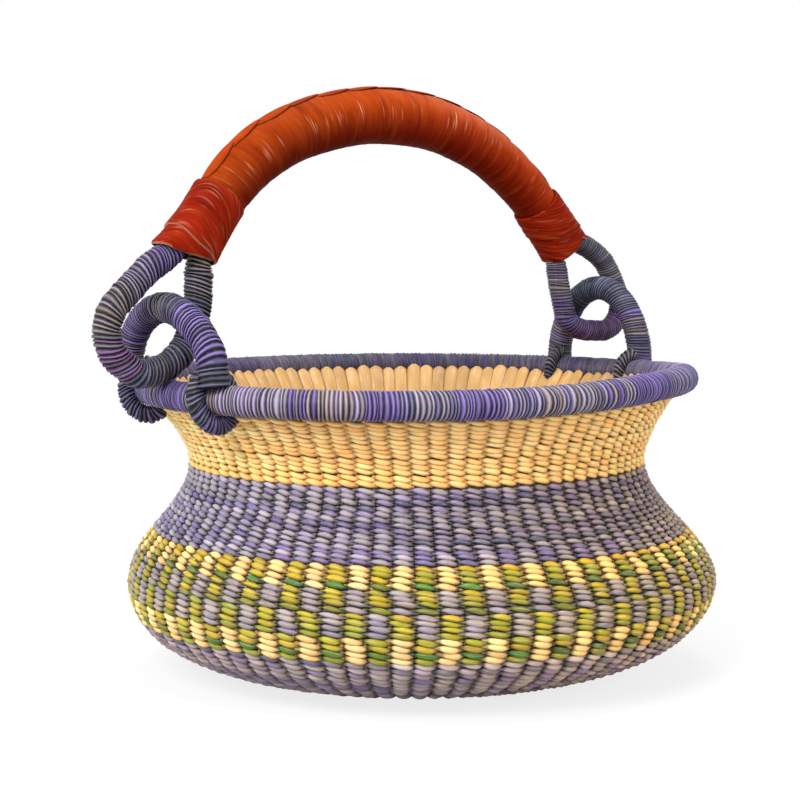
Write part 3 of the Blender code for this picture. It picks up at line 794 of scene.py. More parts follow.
def twining(name, wall, rows, columns, seed):
    """The two strands of every row, each passing outside one stake and inside the next."""
    weave = settings().weave
    tubes = Tubes(name, 2 * len(rows), columns * weave.samples, STRAND_SIDES, True)
    rng = np.random.default_rng(seed)
    around = tubes.around
    step = tubes.ring / weave.samples
    stitch = np.rint(step).astype(int) % columns
    azimuth = FRONT_COLUMN + TAU * step / columns

    def along_row(values):
        return np.interp(step, np.arange(columns + 1), np.append(values, values[0]))

    for number, row in enumerate(rows):
        sway = rng.uniform(0, TAU, 4)
        wander = along_row(rng.normal(0, STITCH_WANDER, columns))
        wave = sum(np.sin(azimuth * k + sway[k]) / k for k in (1, 2, 3)) * ROW_WAVE
        for strand in (0, 1):
            tone = tones(rng, columns, row.dyes[strand], row)
            plump = rng.normal(1, STITCH_FULLNESS, columns)
            proud = rng.normal(0, STITCH_PROUD, columns)
            drift = along_row(rng.normal(0, STITCH_DRIFT, columns) * row.pitch)
            phase = math.pi * (step + strand + wander)
            cross, crest = np.sin(phase), np.abs(np.cos(phase))
            slope = cross * np.sign(np.cos(phase))
            dive = 0.5 + 0.5 * np.clip(3 * slope, -1, 1)
            waist = row.waist + WAIST_RISE - WAIST_DIVE * dive
            full = waist + (STITCH_REACH - waist) * crest ** STITCH_POWER
            tall = row.pitch / 2 * full * plump[stitch] * STITCH_REACH
            thick = weave.thickness / 2 * (THICKNESS_LOW + THICKNESS_SWELL * crest)
            rise = -cross * weave.lift * row.pitch + wave + drift
            swing = (np.cos(phase + SKEW) + OUTWARD_BIAS) / (1 + OUTWARD_BIAS)
            stand = weave.swing * eased(swing, SWING_POWER) + proud[stitch]
            stand = stand + thick * np.cos(around)
            height = row.distance + rise + tall * eased(np.sin(around), STITCH_POWER)
            # Painted light where the stitch comes up and painted shade where it dives
            tint = STITCH_TINT - slope[:, None] * DIVE_LIGHT_AND_SHADE
            # Browner on the right side, and painted light on the left side
            dye = tone[stitch] * tint * browned_and_lit(azimuth, row.browning, row.paling)
            # Painted shade at the ends of each stitch and along its lower and upper edges
            fall = END_SHARPNESS * crest / (END_REACH + END_DIVE * dive)
            ends = np.clip(END_SHARPNESS - fall, 0, 1) * row.shade * (0.8 + 0.2 * dive)
            edges = UNDER_SHADE * np.clip(-np.sin(around), 0, 1)
            edges = edges + OVER_SHADE * np.clip(np.sin(around), 0, 1)
            painted_shade = 1 - (1 - ends) * (1 - edges)
            places = wall.place(height, stand, azimuth)
            tubes.add(places, dye, painted_shade, step, 2 * number + strand)
    return tubes.finished(columns)


def spaced_rows(low, high, count, dyes, **words):
    pitch = (high - low) / count
    return [Row(low + (i + 0.5) * pitch, pitch, dyes, **words) for i in range(count)]


def growing_rows(low, high, first, last, dyes, **words):
    """Rows from high down to low, whose width grows from first to last on the way."""
    count = max(2, round((high - low) / ((first + last * 2) / 3)))
    widths = first + (last - first) * np.clip(np.arange(count) / (count * 0.5), 0, 1)
    widths *= (high - low) / widths.sum()
    edges = high - np.concatenate([[0], np.cumsum(widths)])
    rows = [
        Row((top + foot) / 2, top - foot, dyes, **words) for top, foot in zip(edges, edges[1:])
    ]
    return rows[::-1]


def dye_table():
    dyes = settings().dyes
    names = ("straw", "cream", "grey", "violet", "slate", "olive", "green", "tan", "red")
    return {name: np.array(getattr(dyes, name)) for name in names}


class BASKET_OT_walls(Operator):
    """Twine the bands of the wall and its base"""

    bl_idname = "basket.walls"
    bl_label = "Twined walls"

    def execute(self, context):
        wall = Wall()
        columns = settings().weave.columns
        dye = dye_table()
        straw = [dye["straw"], dye["straw"] * (0.96, 0.84, 0.70), dye["cream"] * (1.0, 0.95, 0.9)]
        purple = [dye["grey"] * 1.12, dye["violet"] * 1.1, dye["grey"] * 1.5, dye["slate"] * 1.7]
        lower = [tone * (1.45, 1.34, 1.15) for tone in purple]
        purple_shares = [0.40, 0.28, 0.20, 0.12]
        cream = [dye["cream"], dye["cream"] * 0.9, dye["straw"]]
        grey = [dye["grey"] * (1.2, 1.18, 1.0), dye["grey"] * (1.4, 1.32, 1.0),
                dye["grey"] * 0.8 + dye["violet"] * 0.28]
        olive = [dye["olive"], dye["olive"] * (1.45, 1.08, 1.0), dye["olive"] * (0.66, 0.80, 1.0)]
        dusk = [dye["olive"] * 0.7, dye["olive"] * 0.45 + dye["green"] * 0.4]
        green = [dye["green"], dye["green"] * 1.5, dye["olive"] * 0.5]
        marks = [wall.at_height(height) for height in BAND_HEIGHTS]
        top = wall.below_rim(WALL_REACH)

        def make(node, rows, count, slot, seed, name=None):
            mesh = twining(node, wall, rows, count, seed)
            piece(f"{name or node}_twining", mesh, twined_grass(), "basket", slot, node)

        start = spaced_rows(BASE_START, START_RADIUS, START_ROWS, (straw, straw))
        make("base_start", start, START_COLUMNS, "straw", 1)
        inner = spaced_rows(START_RADIUS, BASE_STEP, INNER_ROWS, (straw, straw))
        outer = spaced_rows(BASE_STEP, BASE_RADIUS, OUTER_ROWS, (straw, straw))
        base = twining("outer", wall, outer, columns, 3)
        bm = bmesh.new()
        bm.from_mesh(twining("inner", wall, inner, INNER_COLUMNS, 2))
        bm.from_mesh(base)
        bm.to_mesh(base)
        bm.free()
        piece("base_weave_twining", base, twined_grass(), "basket", "straw", "base_weave")
        foot = growing_rows(
            BASE_RADIUS, marks[0], *FOOT_PITCHES, (lower, lower), shares=purple_shares,
            run=(5, 20),
        )
        half = len(foot) // 2
        make("foot_band", foot[:half], columns, "purple_weft", 4)
        make("foot_band", foot[half:], columns, "purple_weft", 5, "foot_band_upper")
        courses = (
            ("cream_weft", [(cream, olive), (cream, green), (cream, olive), (cream, olive)]),
            ("green_weft", [(olive, grey), (olive, grey), (olive, grey), (olive, grey)]),
            ("purple_weft", [(grey, dusk), (grey, olive), (grey, olive), (grey, olive)]),
            ("cream_weft", [(cream, green), (cream, olive), (cream, olive), (cream, olive)]),
        )
        for i, (slot, pairs) in enumerate(courses):
            pitch = (marks[i + 1] - marks[i]) / len(pairs)
            rows = [
                Row(marks[i] + (k + 0.5) * pitch, pitch, pair, run=(3, 14))
                for k, pair in enumerate(pairs)
            ]
            make(f"checker_course_{i + 1}", rows, columns, slot, 10 + i)
        shoulder = spaced_rows(
            marks[4], marks[5], SHOULDER_ROWS, (purple, purple), shares=purple_shares,
            run=(5, 22), paling=0.8,
        )
        make("shoulder_band", shoulder, columns, "purple_weft", 20)
        neck = spaced_rows(
            marks[5], top, NECK_ROWS, (straw, straw), run=(6, 24), waist=0.62, shade=0.68,
            variety=0.55, browning=0.35, paling=1.0,
        )
        make("neck_band", neck, columns, "straw", 21)
        return {"FINISHED"}


# Stakes: where they start, how flat and how wide they are, and how dark their painted shade is
STAKE_START = 0.0006
STAKE_DEPTH = 0.0009
STAKE_WIDTH = 0.60
STAKE_SHADE_TONE = 0.10
STAKE_PAINTED_SHADE = 0.85
FIBRE_LENGTH = 0.01


class BASKET_OT_stakes(Operator):
    """Set the stakes that the weft is twined on"""

    bl_idname = "basket.stakes"
    bl_label = "Stakes"

    def execute(self, context):
        wall = Wall()
        columns = settings().weave.columns
        rings, sides = STAKE_MESH
        tubes = Tubes("stakes", columns, rings, sides)
        run = wall.below_rim(WALL_REACH) - STAKE_START
        distance = STAKE_START + run * tubes.ring / (rings - 1)
        across = TAU / columns * STAKE_WIDTH * np.sin(tubes.around)
        dye = dye_table()["straw"] * STAKE_SHADE_TONE
        for column in range(columns):
            azimuth = FRONT_COLUMN + TAU * column / columns + across
            places = wall.place(distance, STAKE_DEPTH * np.cos(tubes.around), azimuth)
            tubes.add(places, dye, STAKE_PAINTED_SHADE, distance / FIBRE_LENGTH, column)
        piece("stakes", tubes.finished(), twined_grass(), "basket", "straw")
        return {"FINISHED"}


# Wound strip

# How uneven the turns are: their widths, their lean, and how far they stand out
TURN_WIDTHS = (0.72, 1.28)
TURN_WANDER, TURN_JITTER = 0.5, 0.22
TURN_PROUD = (-0.00035, 0.00015)
SMOOTHED_TURNS = 5
LEVEL_TURNS = 4

# How far from its ends a cord is slimmer, and how it swells
PINCH_LENGTH = 0.022
PINCH_POWER = 1.5

# Painted light on a turn: shade in its groove, a highlight on its crest, and shade on the side
# that faces inwards on the far side of the basket
GROOVE_SHADE, CREST_HIGHLIGHT, INNER_SHADE = 0.52, 1.20, 0.30
INNER_SHARE = 0.70
GAP_SWAY = 0.14
GAP_SLOPE = 0.55
STRAY_TURNS = 0.5


def patches(rng, turns, stops, spread):
    """Colours turn by turn, from stops along the cord, with stray turns of the next colour."""
    spots = np.array([stop for stop, _ in stops])
    dyes = np.array([tone for _, tone in stops])
    wanted = np.interp(np.arange(turns) / turns, spots, np.arange(len(spots)))
    wanted = wanted + rng.normal(0, STRAY_TURNS, turns)
    nearest = np.clip(np.rint(wanted), 0, len(spots) - 1).astype(int)
    return dyes[nearest] * rng.uniform(1 - spread, 1 + spread, (turns, 1))


def winding(
    route, radius, pitch, stops, seed, sides=CORD_SIDES, depth=1.0, pinch=0, spread=0.44,
    opening=0.06, far=None,
):
    """A strip wound closely round the route: ridged turns, each with its own width and colour.

    depth is the share of the full groove, pinch how slim the ends are, spread how far the turns
    differ in tone, opening how broad their tops are outside the painted shade, and far the angle
    round the basket at which the side that faces inwards gets painted shade.
    """
    wound = settings().winding
    rng = np.random.default_rng(seed)
    turns = int(round(route.total / pitch))
    rings = turns * wound.samples + (0 if route.closed else 1)
    tubes = Tubes("winding", 1, rings, sides, route.closed)
    around = tubes.around
    widths = rng.uniform(*TURN_WIDTHS, turns)
    edges = np.concatenate([[0], np.cumsum(widths)]) / widths.sum() * route.total
    count = tubes.ring / wound.samples
    turn = np.floor(count).astype(int) % turns
    part = count - np.floor(count)
    wander = np.pad(rng.normal(0, TURN_WANDER, turns), SMOOTHED_TURNS // 2, mode="wrap")
    wander = np.convolve(wander, np.ones(SMOOTHED_TURNS) / SMOOTHED_TURNS, "valid")
    wander += rng.normal(0, TURN_JITTER, turns)
    lean = pitch * (wound.tilt + np.interp(count % turns, np.arange(turns), wander))
    if not route.closed:
        lean = lean * np.clip(np.minimum(count, turns - count) / LEVEL_TURNS, 0, 1)
    distance = np.interp(count, np.arange(turns + 1), edges) + lean * np.sin(around)
    if not route.closed:
        distance = np.clip(distance, 0, route.total)
    places, _, aside, up = route.frames(distance)
    hollow = np.abs(2 * part - 1)
    ridge = np.sqrt(np.clip(1 - hollow ** 2, 0, 1))
    proud = rng.uniform(*TURN_PROUD, turns)
    squeeze = 1
    if pinch:
        from_ends = np.minimum(distance, route.total - distance)
        squeeze = pinch + (1 - pinch) * np.clip(from_ends / PINCH_LENGTH, 0, 1) ** PINCH_POWER
    reach = radius * squeeze - wound.groove * depth * (1 - ridge) + proud[turn] * ridge * depth
    inner = 0
    if far is not None:
        azimuth = np.arctan2(places[:, 1], places[:, 0])
        inner = np.clip(1.8 * np.cos(azimuth - far), 0, 1) * np.clip(0.75 - np.sin(around), 0, 1)
    # Painted highlight on each turn's crest, painted shade in its groove and on the inward side at
    # the far side
    crest = GROOVE_SHADE + CREST_HIGHLIGHT * (1 - hollow) ** 2
    crest = crest * (1 - inner) + INNER_SHADE * inner
    dye = patches(rng, turns, stops, spread)[turn] * crest[:, None]
    # Painted shade in the gap between turns
    gap = opening + GAP_SWAY * np.sin(around + rng.uniform(0, TAU, turns)[turn])
    painted_shade = np.clip((hollow - gap) / GAP_SLOPE, 0, 1) * min(1, 0.7 + 0.3 * depth)
    spokes = turned_about(aside, up, around)
    tubes.add(places + spokes * reach[:, None], dye, painted_shade * (1 - INNER_SHARE * inner), count)
    return tubes.finished(turns)


# Rim

ROUTE_POINTS = 720

# Tones along the front of the rim, by degrees from the photograph's side
RIM_FRONT = (
    (-66, "slate"), (-60, "lilac"), (-53, "violet"), (-46, "slate"), (-41, "beige"),
    (-36, "grey"), (-30, "lilac"), (-25, "grey"), (-20, "violet"), (-13, "beige"),
    (-8, "lilac"), (-4, "violet"), (0, "slate"), (5, "grey"), (9, "slate"), (14, "violet"),
    (19, "lilac"), (25, "slate"), (31, "beige"), (38, "grey"), (44, "violet"), (58, "violet"),
    (64, "lilac"), (71, "slate"), (84, "violet"),
)
# Tones of the rest of the rim, every few of its fortieths, and where those are
RIM_REST = ("lilac", "violet", "slate", "grey", "lilac", "violet", "slate", "violet", "grey",
            "lilac")
REST_STOPS = (*range(18), *range(37, 41))
REST_COUNT, REST_STRIDE = 40, 7


def rim_route():
    turns = np.arange(ROUTE_POINTS) * TAU / ROUTE_POINTS
    across, along = RIM_RING_RADIUS * np.cos(turns), RIM_RING_RADIUS * np.sin(turns)
    points = np.column_stack([across, along, RIM_HEIGHT + risen(RIM_HEIGHT, turns)])
    return Route(points, closed=True, side=(0, 0, 1))


class BASKET_OT_rim(Operator):
    """Wind the strip round the rim"""

    bl_idname = "basket.rim"
    bl_label = "Wound rim"

    def execute(self, context):
        dye = dye_table()
        violet, grey = dye["violet"] * (0.86, 0.77, 1.05), dye["grey"] * (0.78, 0.76, 0.88)
        tone = {
            "violet": violet,
            "grey": grey,
            "slate": dye["slate"] * 1.2 + violet * 0.35 + grey * 0.12,
            "lilac": dye["violet"] * (0.62, 0.55, 0.62) + dye["grey"] * 0.50,
            "beige": grey * (1.00, 0.90, 0.72),
        }
        stops = [(i / REST_COUNT, RIM_REST[i * REST_STRIDE % len(RIM_REST)]) for i in REST_STOPS]
        stops += [((FRONT_TURN + degrees) / 360, name) for degrees, name in RIM_FRONT]
        stops = [(spot, tone[name]) for spot, name in sorted(stops)]
        pitch = settings().winding.rim_pitch
        far = settings().stage.turn + TAU / 4
        mesh = winding(
            rim_route(), RIM_RADIUS, pitch, stops, 30, RIM_SIDES, 0.8, spread=0.22, opening=0.20,
            far=far,
        )
        nodes = ("rim_wrap", "rim_core")
        piece("rim_winding", mesh, wound_grass(), "basket", "wound_strip", *nodes)
        return {"FINISHED"}


# Bows and rings

LINE_POINTS = 48
LEG_SPREAD = 0.0008


def bow_frame(end):
    """A bow's angle round the basket, and the directions outwards and along the rim there."""
    across = math.asin(HANDLE_OFFSET / end["bow"]["distance"])
    azimuth = across if end["sign"] > 0 else math.pi - across
    return azimuth, *rim_frame(azimuth)


def rim_frame(azimuth):
    out = Vector((math.cos(azimuth), math.sin(azimuth), 0))
    return out, Vector((-math.sin(azimuth), math.cos(azimuth), 0))


def bow_points(end):
    """The bow's middle line, from foot to foot: an arch on two legs that spread to the rim."""
    bow = end["bow"]
    _, out, tangent = bow_frame(end)
    base = out * bow["distance"] + tangent * bow["drift"] + Vector((0, 0, RIM_HEIGHT))
    points = []
    for i in range(LINE_POINTS + 1):
        angle = math.pi * i / LINE_POINTS
        sideways = bow["half_span"] * math.cos(angle)
        height = bow["spring"] + bow["rise"] * math.sin(angle)
        if height > bow["foot"]:
            inward = bow["tuck_in"] * max(0.0, math.cos(angle)) ** 3
            sideways += bow["splay"] * math.cos(angle) ** 5
            points.append(base + tangent * sideways - out * inward + Vector((0, 0, height)))
    for side, nearest in ((1, points[0]), (-1, points[-1])):
        down = Vector((0, 0, bow["foot"] - nearest.z + RIM_HEIGHT))
        slope = down + tangent * side * LEG_SPREAD
        leg = [nearest + slope, nearest + slope * 0.5]
        points = leg + points if side > 0 else points + leg[::-1]
    return smooth_line(points, 3), out


def foot_azimuth(end, which):
    """The angle round the rim of one foot of a bow: which is 1 further round and -1 back."""
    bow = end["bow"]
    across = math.atan((which * bow["half_span"] + bow["drift"]) / bow["distance"])
    return bow_frame(end)[0] + across


def ring_points(end, which):
    """A ring round the rim: upright on its outer side, and hooked sideways under the rim."""
    at = foot_azimuth(end, which)
    out, tangent = rim_frame(at)
    height = RIM_HEIGHT + float(risen(RIM_HEIGHT, at))
    centre = out * RIM_RING_RADIUS + Vector((0, 0, height))
    ring = end["ring"]
    points = []
    for i in range(LINE_POINTS):
        angle = TAU * i / LINE_POINTS
        up = Vector((0, 0, math.sin(angle) * ring["up"]))
        spoke = out * math.cos(angle) * ring["across"] + up
        along = ring["shift"] - ring["lean"] * math.sin(angle + ring["hook"])
        points.append(centre + spoke + tangent * along)
    return points, tangent


class BASKET_OT_brackets(Operator):
    """Wind the bows on the rim and the rings that hold them"""

    bl_idname = "basket.brackets"
    bl_label = "Bows and rings"

    def execute(self, context):
        violet, grey, slate = cord_dyes()
        bows = {
            "left": [(0, slate), (0.05, slate * 1.4), (0.12, violet), (0.22, violet * 1.2),
                     (0.30, violet), (0.36, slate * 1.5), (0.44, grey * 0.6), (0.52, slate * 1.3),
                     (0.62, violet * 0.8), (0.80, violet), (0.9, grey * 0.6), (1, slate)],
            "right": [(0, slate * 1.3), (0.12, grey * 0.6), (0.2, violet * 0.7), (0.3, slate),
                      (0.42, slate * (0.9, 1.3, 1.1)), (0.55, slate * 1.6), (0.66, slate),
                      (0.76, violet * 0.8), (0.84, grey * 0.55), (0.92, slate), (1, violet * 0.7)],
        }
        rings = {
            "left_back": slate,
            "left_front": slate * 1.1,
            "right_back": slate * 1.5,
            "right_front": grey * 0.6,
        }
        wound = settings().winding
        for number, (name, end) in enumerate(ENDS.items()):
            body = f"{name}_bracket"
            points, out = bow_points(end)
            mesh = winding(
                Route(points, side=tuple(out)), end["bow"]["radius"],
                wound.cord_pitch * end["fineness"], bows[name], 40 + number, depth=end["depth"],
            )
            nodes = (f"{name}_bow_wrap", f"{name}_bow_core")
            piece(f"{name}_bow_winding", mesh, wound_grass(), body, "wound_strip", *nodes)
            for which, word in ((end["sign"], "back"), (-end["sign"], "front")):
                node = f"{name}_{word}_ring"
                points, tangent = ring_points(end, which)
                tone = rings[f"{name}_{word}"]
                stops = [(0, tone), (0.25, grey * 0.6), (0.5, tone), (0.75, violet * 0.8),
                         (1, tone)]
                mesh = winding(
                    Route(points, closed=True, side=tuple(tangent)), end["ring"]["radius"],
                    wound.ring_pitch, stops, 44 + 2 * number + (which > 0), RING_SIDES,
                )
                piece(f"{node}_winding", mesh, wound_grass(), body, "wound_strip", node)
        return {"FINISHED"}


def cord_dyes():
    """Violet, grey and slate as they are on the bows, the rings and the loops."""
    dye = dye_table()
    return dye["violet"] * (0.75, 0.7, 0.9), dye["grey"] * 0.8, dye["slate"] * 0.9


# Folded stake ends

# A fold's line: the angles at which it leaves the rim, how far below the mouth it follows the
# wall, and how far it stands off the wall's middle there
FOLD_TOP_DEGREES = (179, 191)
FOLD_DEPTHS = (0.007, 0.013, 0.019)
FOLD_STANDS = (-0.0034, -0.0030, -0.0018)

# A fold's outline, and how the folds differ in place, width, thickness and tone
FOLD_ROUNDED, FOLD_TAPER_END, FOLD_TAPER = 0.16, 1.15, 0.35
FOLD_WANDER, FOLD_SHIFT = 0.03, 0.0005
FOLD_WIDTHS, FOLD_THICKNESSES, FOLD_TONES = (1.06, 1.22), (0.9, 1.15), (0.84, 1.10)
FOLD_TINT = (0.56, 0.53, 0.52)
FOLD_FIBRES = 1.6


class BASKET_OT_border(Operator):
    """Fold the ends of the stakes over under the rim"""

    bl_idname = "basket.border"
    bl_label = "Folded stake ends"

    def execute(self, context):
        wall = Wall()
        columns = settings().weave.folds
        tubes = Tubes("border", columns, *FOLD_MESH)
        rng = np.random.default_rng(60)
        t, around = tubes.share, tubes.around
        rounded = np.sqrt(1 - np.clip(1 - t / FOLD_ROUNDED, 0, 0.96) ** 2)
        full = rounded * np.clip((FOLD_TAPER_END - t) / FOLD_TAPER, 0, 1)
        thick = BORDER_THICKNESS / 2
        reach = BORDER_REACH + thick
        line = [
            (RIM_RING_RADIUS + reach * math.cos(angle), 0, RIM_HEIGHT + reach * math.sin(angle))
            for angle in np.radians(FOLD_TOP_DEGREES)
        ]
        inside = wall.place(wall.total - np.array(FOLD_DEPTHS), np.array(FOLD_STANDS), 0.0)
        line += [tuple(spot) for spot in inside]
        route = Route(smooth_line(line, 6), side=(0, 1, 0))
        spots, _, _, normal = route.frames(t * route.total)
        dye = dye_table()["straw"] * FOLD_TINT
        # Painted shade on the sides of each fold, deeper near the rim
        painted_shade = np.abs(np.cos(around)) ** 6 * np.interp(t, (0.1, 0.3), (0.7, 0.18))
        for column in range(columns):
            turn = FRONT_COLUMN + TAU * (column + rng.normal(0, FOLD_WANDER)) / columns
            half = spots[:, 0] * math.pi / columns * rng.uniform(*FOLD_WIDTHS)
            across = half * full * np.cos(around)
            proud = thick * full * np.sin(around) * rng.uniform(*FOLD_THICKNESSES)
            high = rng.normal(0, FOLD_SHIFT) * (1 - t)
            reach = spots[:, 0] + normal[:, 0] * proud
            height = spots[:, 2] + normal[:, 2] * proud + high
            angle = turn + across / spots[:, 0]
            height = height + risen(height, angle)
            places = np.column_stack([reach * np.cos(angle), reach * np.sin(angle), height])
            tubes.add(places, dye * rng.uniform(*FOLD_TONES), painted_shade, t * FOLD_FIBRES, column)
        nodes = [f"stake_border_{word}" for word in ("back", "left", "front", "right")]
        mesh = tubes.finished()
        piece("stake_border_folds", mesh, twined_grass(), "basket", "straw", *nodes)
        return {"FINISHED"}


# Handle

LOOP_PINCH = 0.62


def arch_route():
    points = [
        (ARCH_MIDDLE + across * ARCH_HALF_SPAN, HANDLE_OFFSET, ARCH_FOOT_HEIGHT + up * ARCH_RISE)
        for across, up in ARCH_SHARES
    ]
    return Route(smooth_line(points, 20), side=(0, 1, 0))


def from_end(end, distance):
    """Point, downward and outward direction at a distance up from a cuff's foot."""
    route = arch_route()
    at = distance if end["sign"] < 0 else route.total - distance
    place, forward, _, _ = route.frames(np.array([float(at)]))
    down = Vector(forward[0]) * end["sign"]
    out = Vector((end["sign"] * -down.z, 0, abs(down.x)))
    return Vector(place[0]), down, out


def loop_points(end):
    loop = end["loop"]
    point, _, out = from_end(end, CORE_END_INSET)
    points = [point + out * loop["spread"]]
    for across, up in loop["shares"]:
        x = end["sign"] * (loop["middle"] + across * loop["half_width"])
        points.append(Vector((x, HANDLE_OFFSET, loop["bottom"] + up * loop["height"])))
    points.append(point - out * loop["spread"])
    return smooth_line(points)


class BASKET_OT_loops(Operator):
    """Wind the loops at the ends of the handle"""

    bl_idname = "basket.loops"
    bl_label = "Handle loops"

    def execute(self, context):
        violet, grey, slate = cord_dyes()
        beige = dye_table()["cream"] * 0.12 + grey * 0.55
        pink = violet * (1.5, 0.9, 0.85)
        stops = {
            "left": [(0, slate), (0.05, slate * 1.2), (0.09, violet), (0.16, violet * 1.1),
                     (0.21, violet * 0.6 + grey * 0.3), (0.27, violet * 0.3 + grey * 0.45),
                     (0.31, grey * 0.6), (0.36, beige * 0.6), (0.40, grey * 0.6), (0.435, pink),
                     (0.47, pink * 0.8), (0.505, slate * 1.5), (0.57, grey * 0.55),
                     (0.64, slate * 1.4), (0.70, slate * 1.2), (0.77, slate), (0.84, grey * 0.6),
                     (0.90, beige * 0.85), (0.96, grey * 0.7), (1, slate)],
            "right": [(0, slate), (0.10, grey * 0.45), (0.2, slate * 1.3), (0.3, grey * 0.5),
                      (0.42, violet * 0.7), (0.5, violet * (1.0, 0.7, 0.7)),
                      (0.62, violet * (1.1, 0.75, 0.75)), (0.7, violet * 0.7), (0.8, grey * 0.6),
                      (0.9, violet * 0.5 + grey * 0.35), (1, violet * 0.5 + grey * 0.5)],
        }
        for number, (name, end) in enumerate(ENDS.items()):
            mesh = winding(
                Route(loop_points(end), side=(0, 1, 0)), end["loop"]["radius"],
                settings().winding.cord_pitch * end["fineness"], stops[name], 50 + number,
                depth=end["depth"], pinch=LOOP_PINCH,
            )
            nodes = (f"{name}_loop_wrap", f"{name}_loop_core")
            piece(f"{name}_loop_winding", mesh, wound_grass(), "handle", "wound_strip", *nodes)
        return {"FINISHED"}


def grip_radius(share):
    return np.interp(share, *GRIP_RADII)


def folds(points, amount=1.0):
    """Noise between -1 and 1 at each point, for creases and lumps."""
    return np.array([noise.noise(Vector(point)) for point in points]) * amount


def ringed_noise(along, around, wide, shift=0):
    """Points for noise on a tube, by distance in creases and by angle."""
    return np.column_stack([along, np.cos(around) * wide, np.sin(around) * wide + shift])


def hump(values, middle, width):
    """1 at the middle and falling to nothing on both sides."""
    return np.exp(-(((values - middle) / width) ** 2))


# The grip's creases and lumps along it, painted shade along it, and where on it the leather gets a
# painted sheen and painted highlight streaks
CREASE_SPACING = 0.0026
LUMP_SPACING = 0.024
GRIP_SHADE_ALONG = ((0, 0.3, 0.5, 1), (0.70, 0.78, 1.05, 1.1))
SHEEN, SHEEN_PLACE, SHEEN_COLOUR = 0.44, (0.68, 0.13), (0.62, 0.20, 0.11)
GRIP_STREAK_HIGHLIGHT, GRIP_HIGHLIGHT_PLACE, GRIP_HIGHLIGHT_SIDE = 0.62, (0.55, 0.25), (0.28, 0.30)


class BASKET_OT_grip(Operator):
    """Cover the grip with leather"""

    bl_idname = "basket.grip"
    bl_label = "Leather grip"

    def execute(self, context):
        leather = settings().leather
        route = arch_route()
        edge = CUFF_LENGTH - CUFF_TUCK
        rings, sides = GRIP_MESH
        tubes = Tubes("grip", 1, rings, sides)
        around = tubes.around
        distance = edge + (route.total - 2 * edge) * tubes.ring / (rings - 1)
        places, _, aside, up = route.frames(distance)
        share = distance / route.total
        crease = folds(ringed_noise(distance / CREASE_SPACING, around, 0.9))
        lumps = folds(ringed_noise(distance / LUMP_SPACING, around, 1.2, 7), leather.lump)
        reach = grip_radius(share) - leather.wrinkle + (leather.wrinkle * crease + lumps)
        spokes = turned_about(aside, up, around)
        facing = spokes[:, 2]
        dye = dye_table()
        # Painted shade on the grip's underside and towards its left end; the leather is also redder
        # below and on its right half
        low = np.clip(0.45 - 0.85 * facing, 0, 1)
        redder_and_shaded = np.clip(0.9 * low + 0.45 * np.clip((share - 0.45) * 1.6, 0, 1), 0, 1)[:, None]
        shade_along = np.interp(share, *GRIP_SHADE_ALONG)[:, None]
        shaded_leather = dye["tan"] * (1 - redder_and_shaded) + dye["red"] * redder_and_shaded
        shaded_leather = shaded_leather * (1 - 0.5 * low[:, None]) * shade_along
        # Painted sheen on the upper side, right of the grip's middle
        sheen = SHEEN * np.clip(facing * 1.4 - 0.2, 0, 1) * hump(share, *SHEEN_PLACE)
        leather_with_sheen = shaded_leather * (1 - sheen[:, None]) + np.array(SHEEN_COLOUR) * sheen[:, None]
        # Painted highlight streaks where the grip faces a little upwards, most of them near its
        # middle
        marked = hump(facing, *GRIP_HIGHLIGHT_SIDE) * (0.3 + 0.7 * hump(share, *GRIP_HIGHLIGHT_PLACE))
        # Painted shade in the creases
        painted_shade = np.clip(-crease * 0.9 - 0.20, 0, 0.35)
        tubes.add(places + spokes * reach[:, None], leather_with_sheen, painted_shade, distance / FIBRE_LENGTH)
        mesh = tubes.finished(streak_highlight=np.clip(marked, 0, 1) * GRIP_STREAK_HIGHLIGHT)
        leather = leather_finish("tanned_leather")
        piece("grip_cover", mesh, leather, "handle", "grip_leather", "grip_leather", "handle_core")
        return {"FINISHED"}


# The lacing's leaves: where the first starts, how long each is beside its share of the row, how
# far it is sunk and rises over the next one, how it turns, and its tone
LACING_START = 0.002
LEAF_OVERLAP, LEAF_BACK = 1.22, 0.1
LEAF_SINK, LEAF_RISE = 0.0006, 0.0007
LEAF_SKEW, LEAF_TURN = 3.0, 2
LEAF_WIDTHS, LEAF_TONES = (0.94, 1.06), (0.72, 0.98)


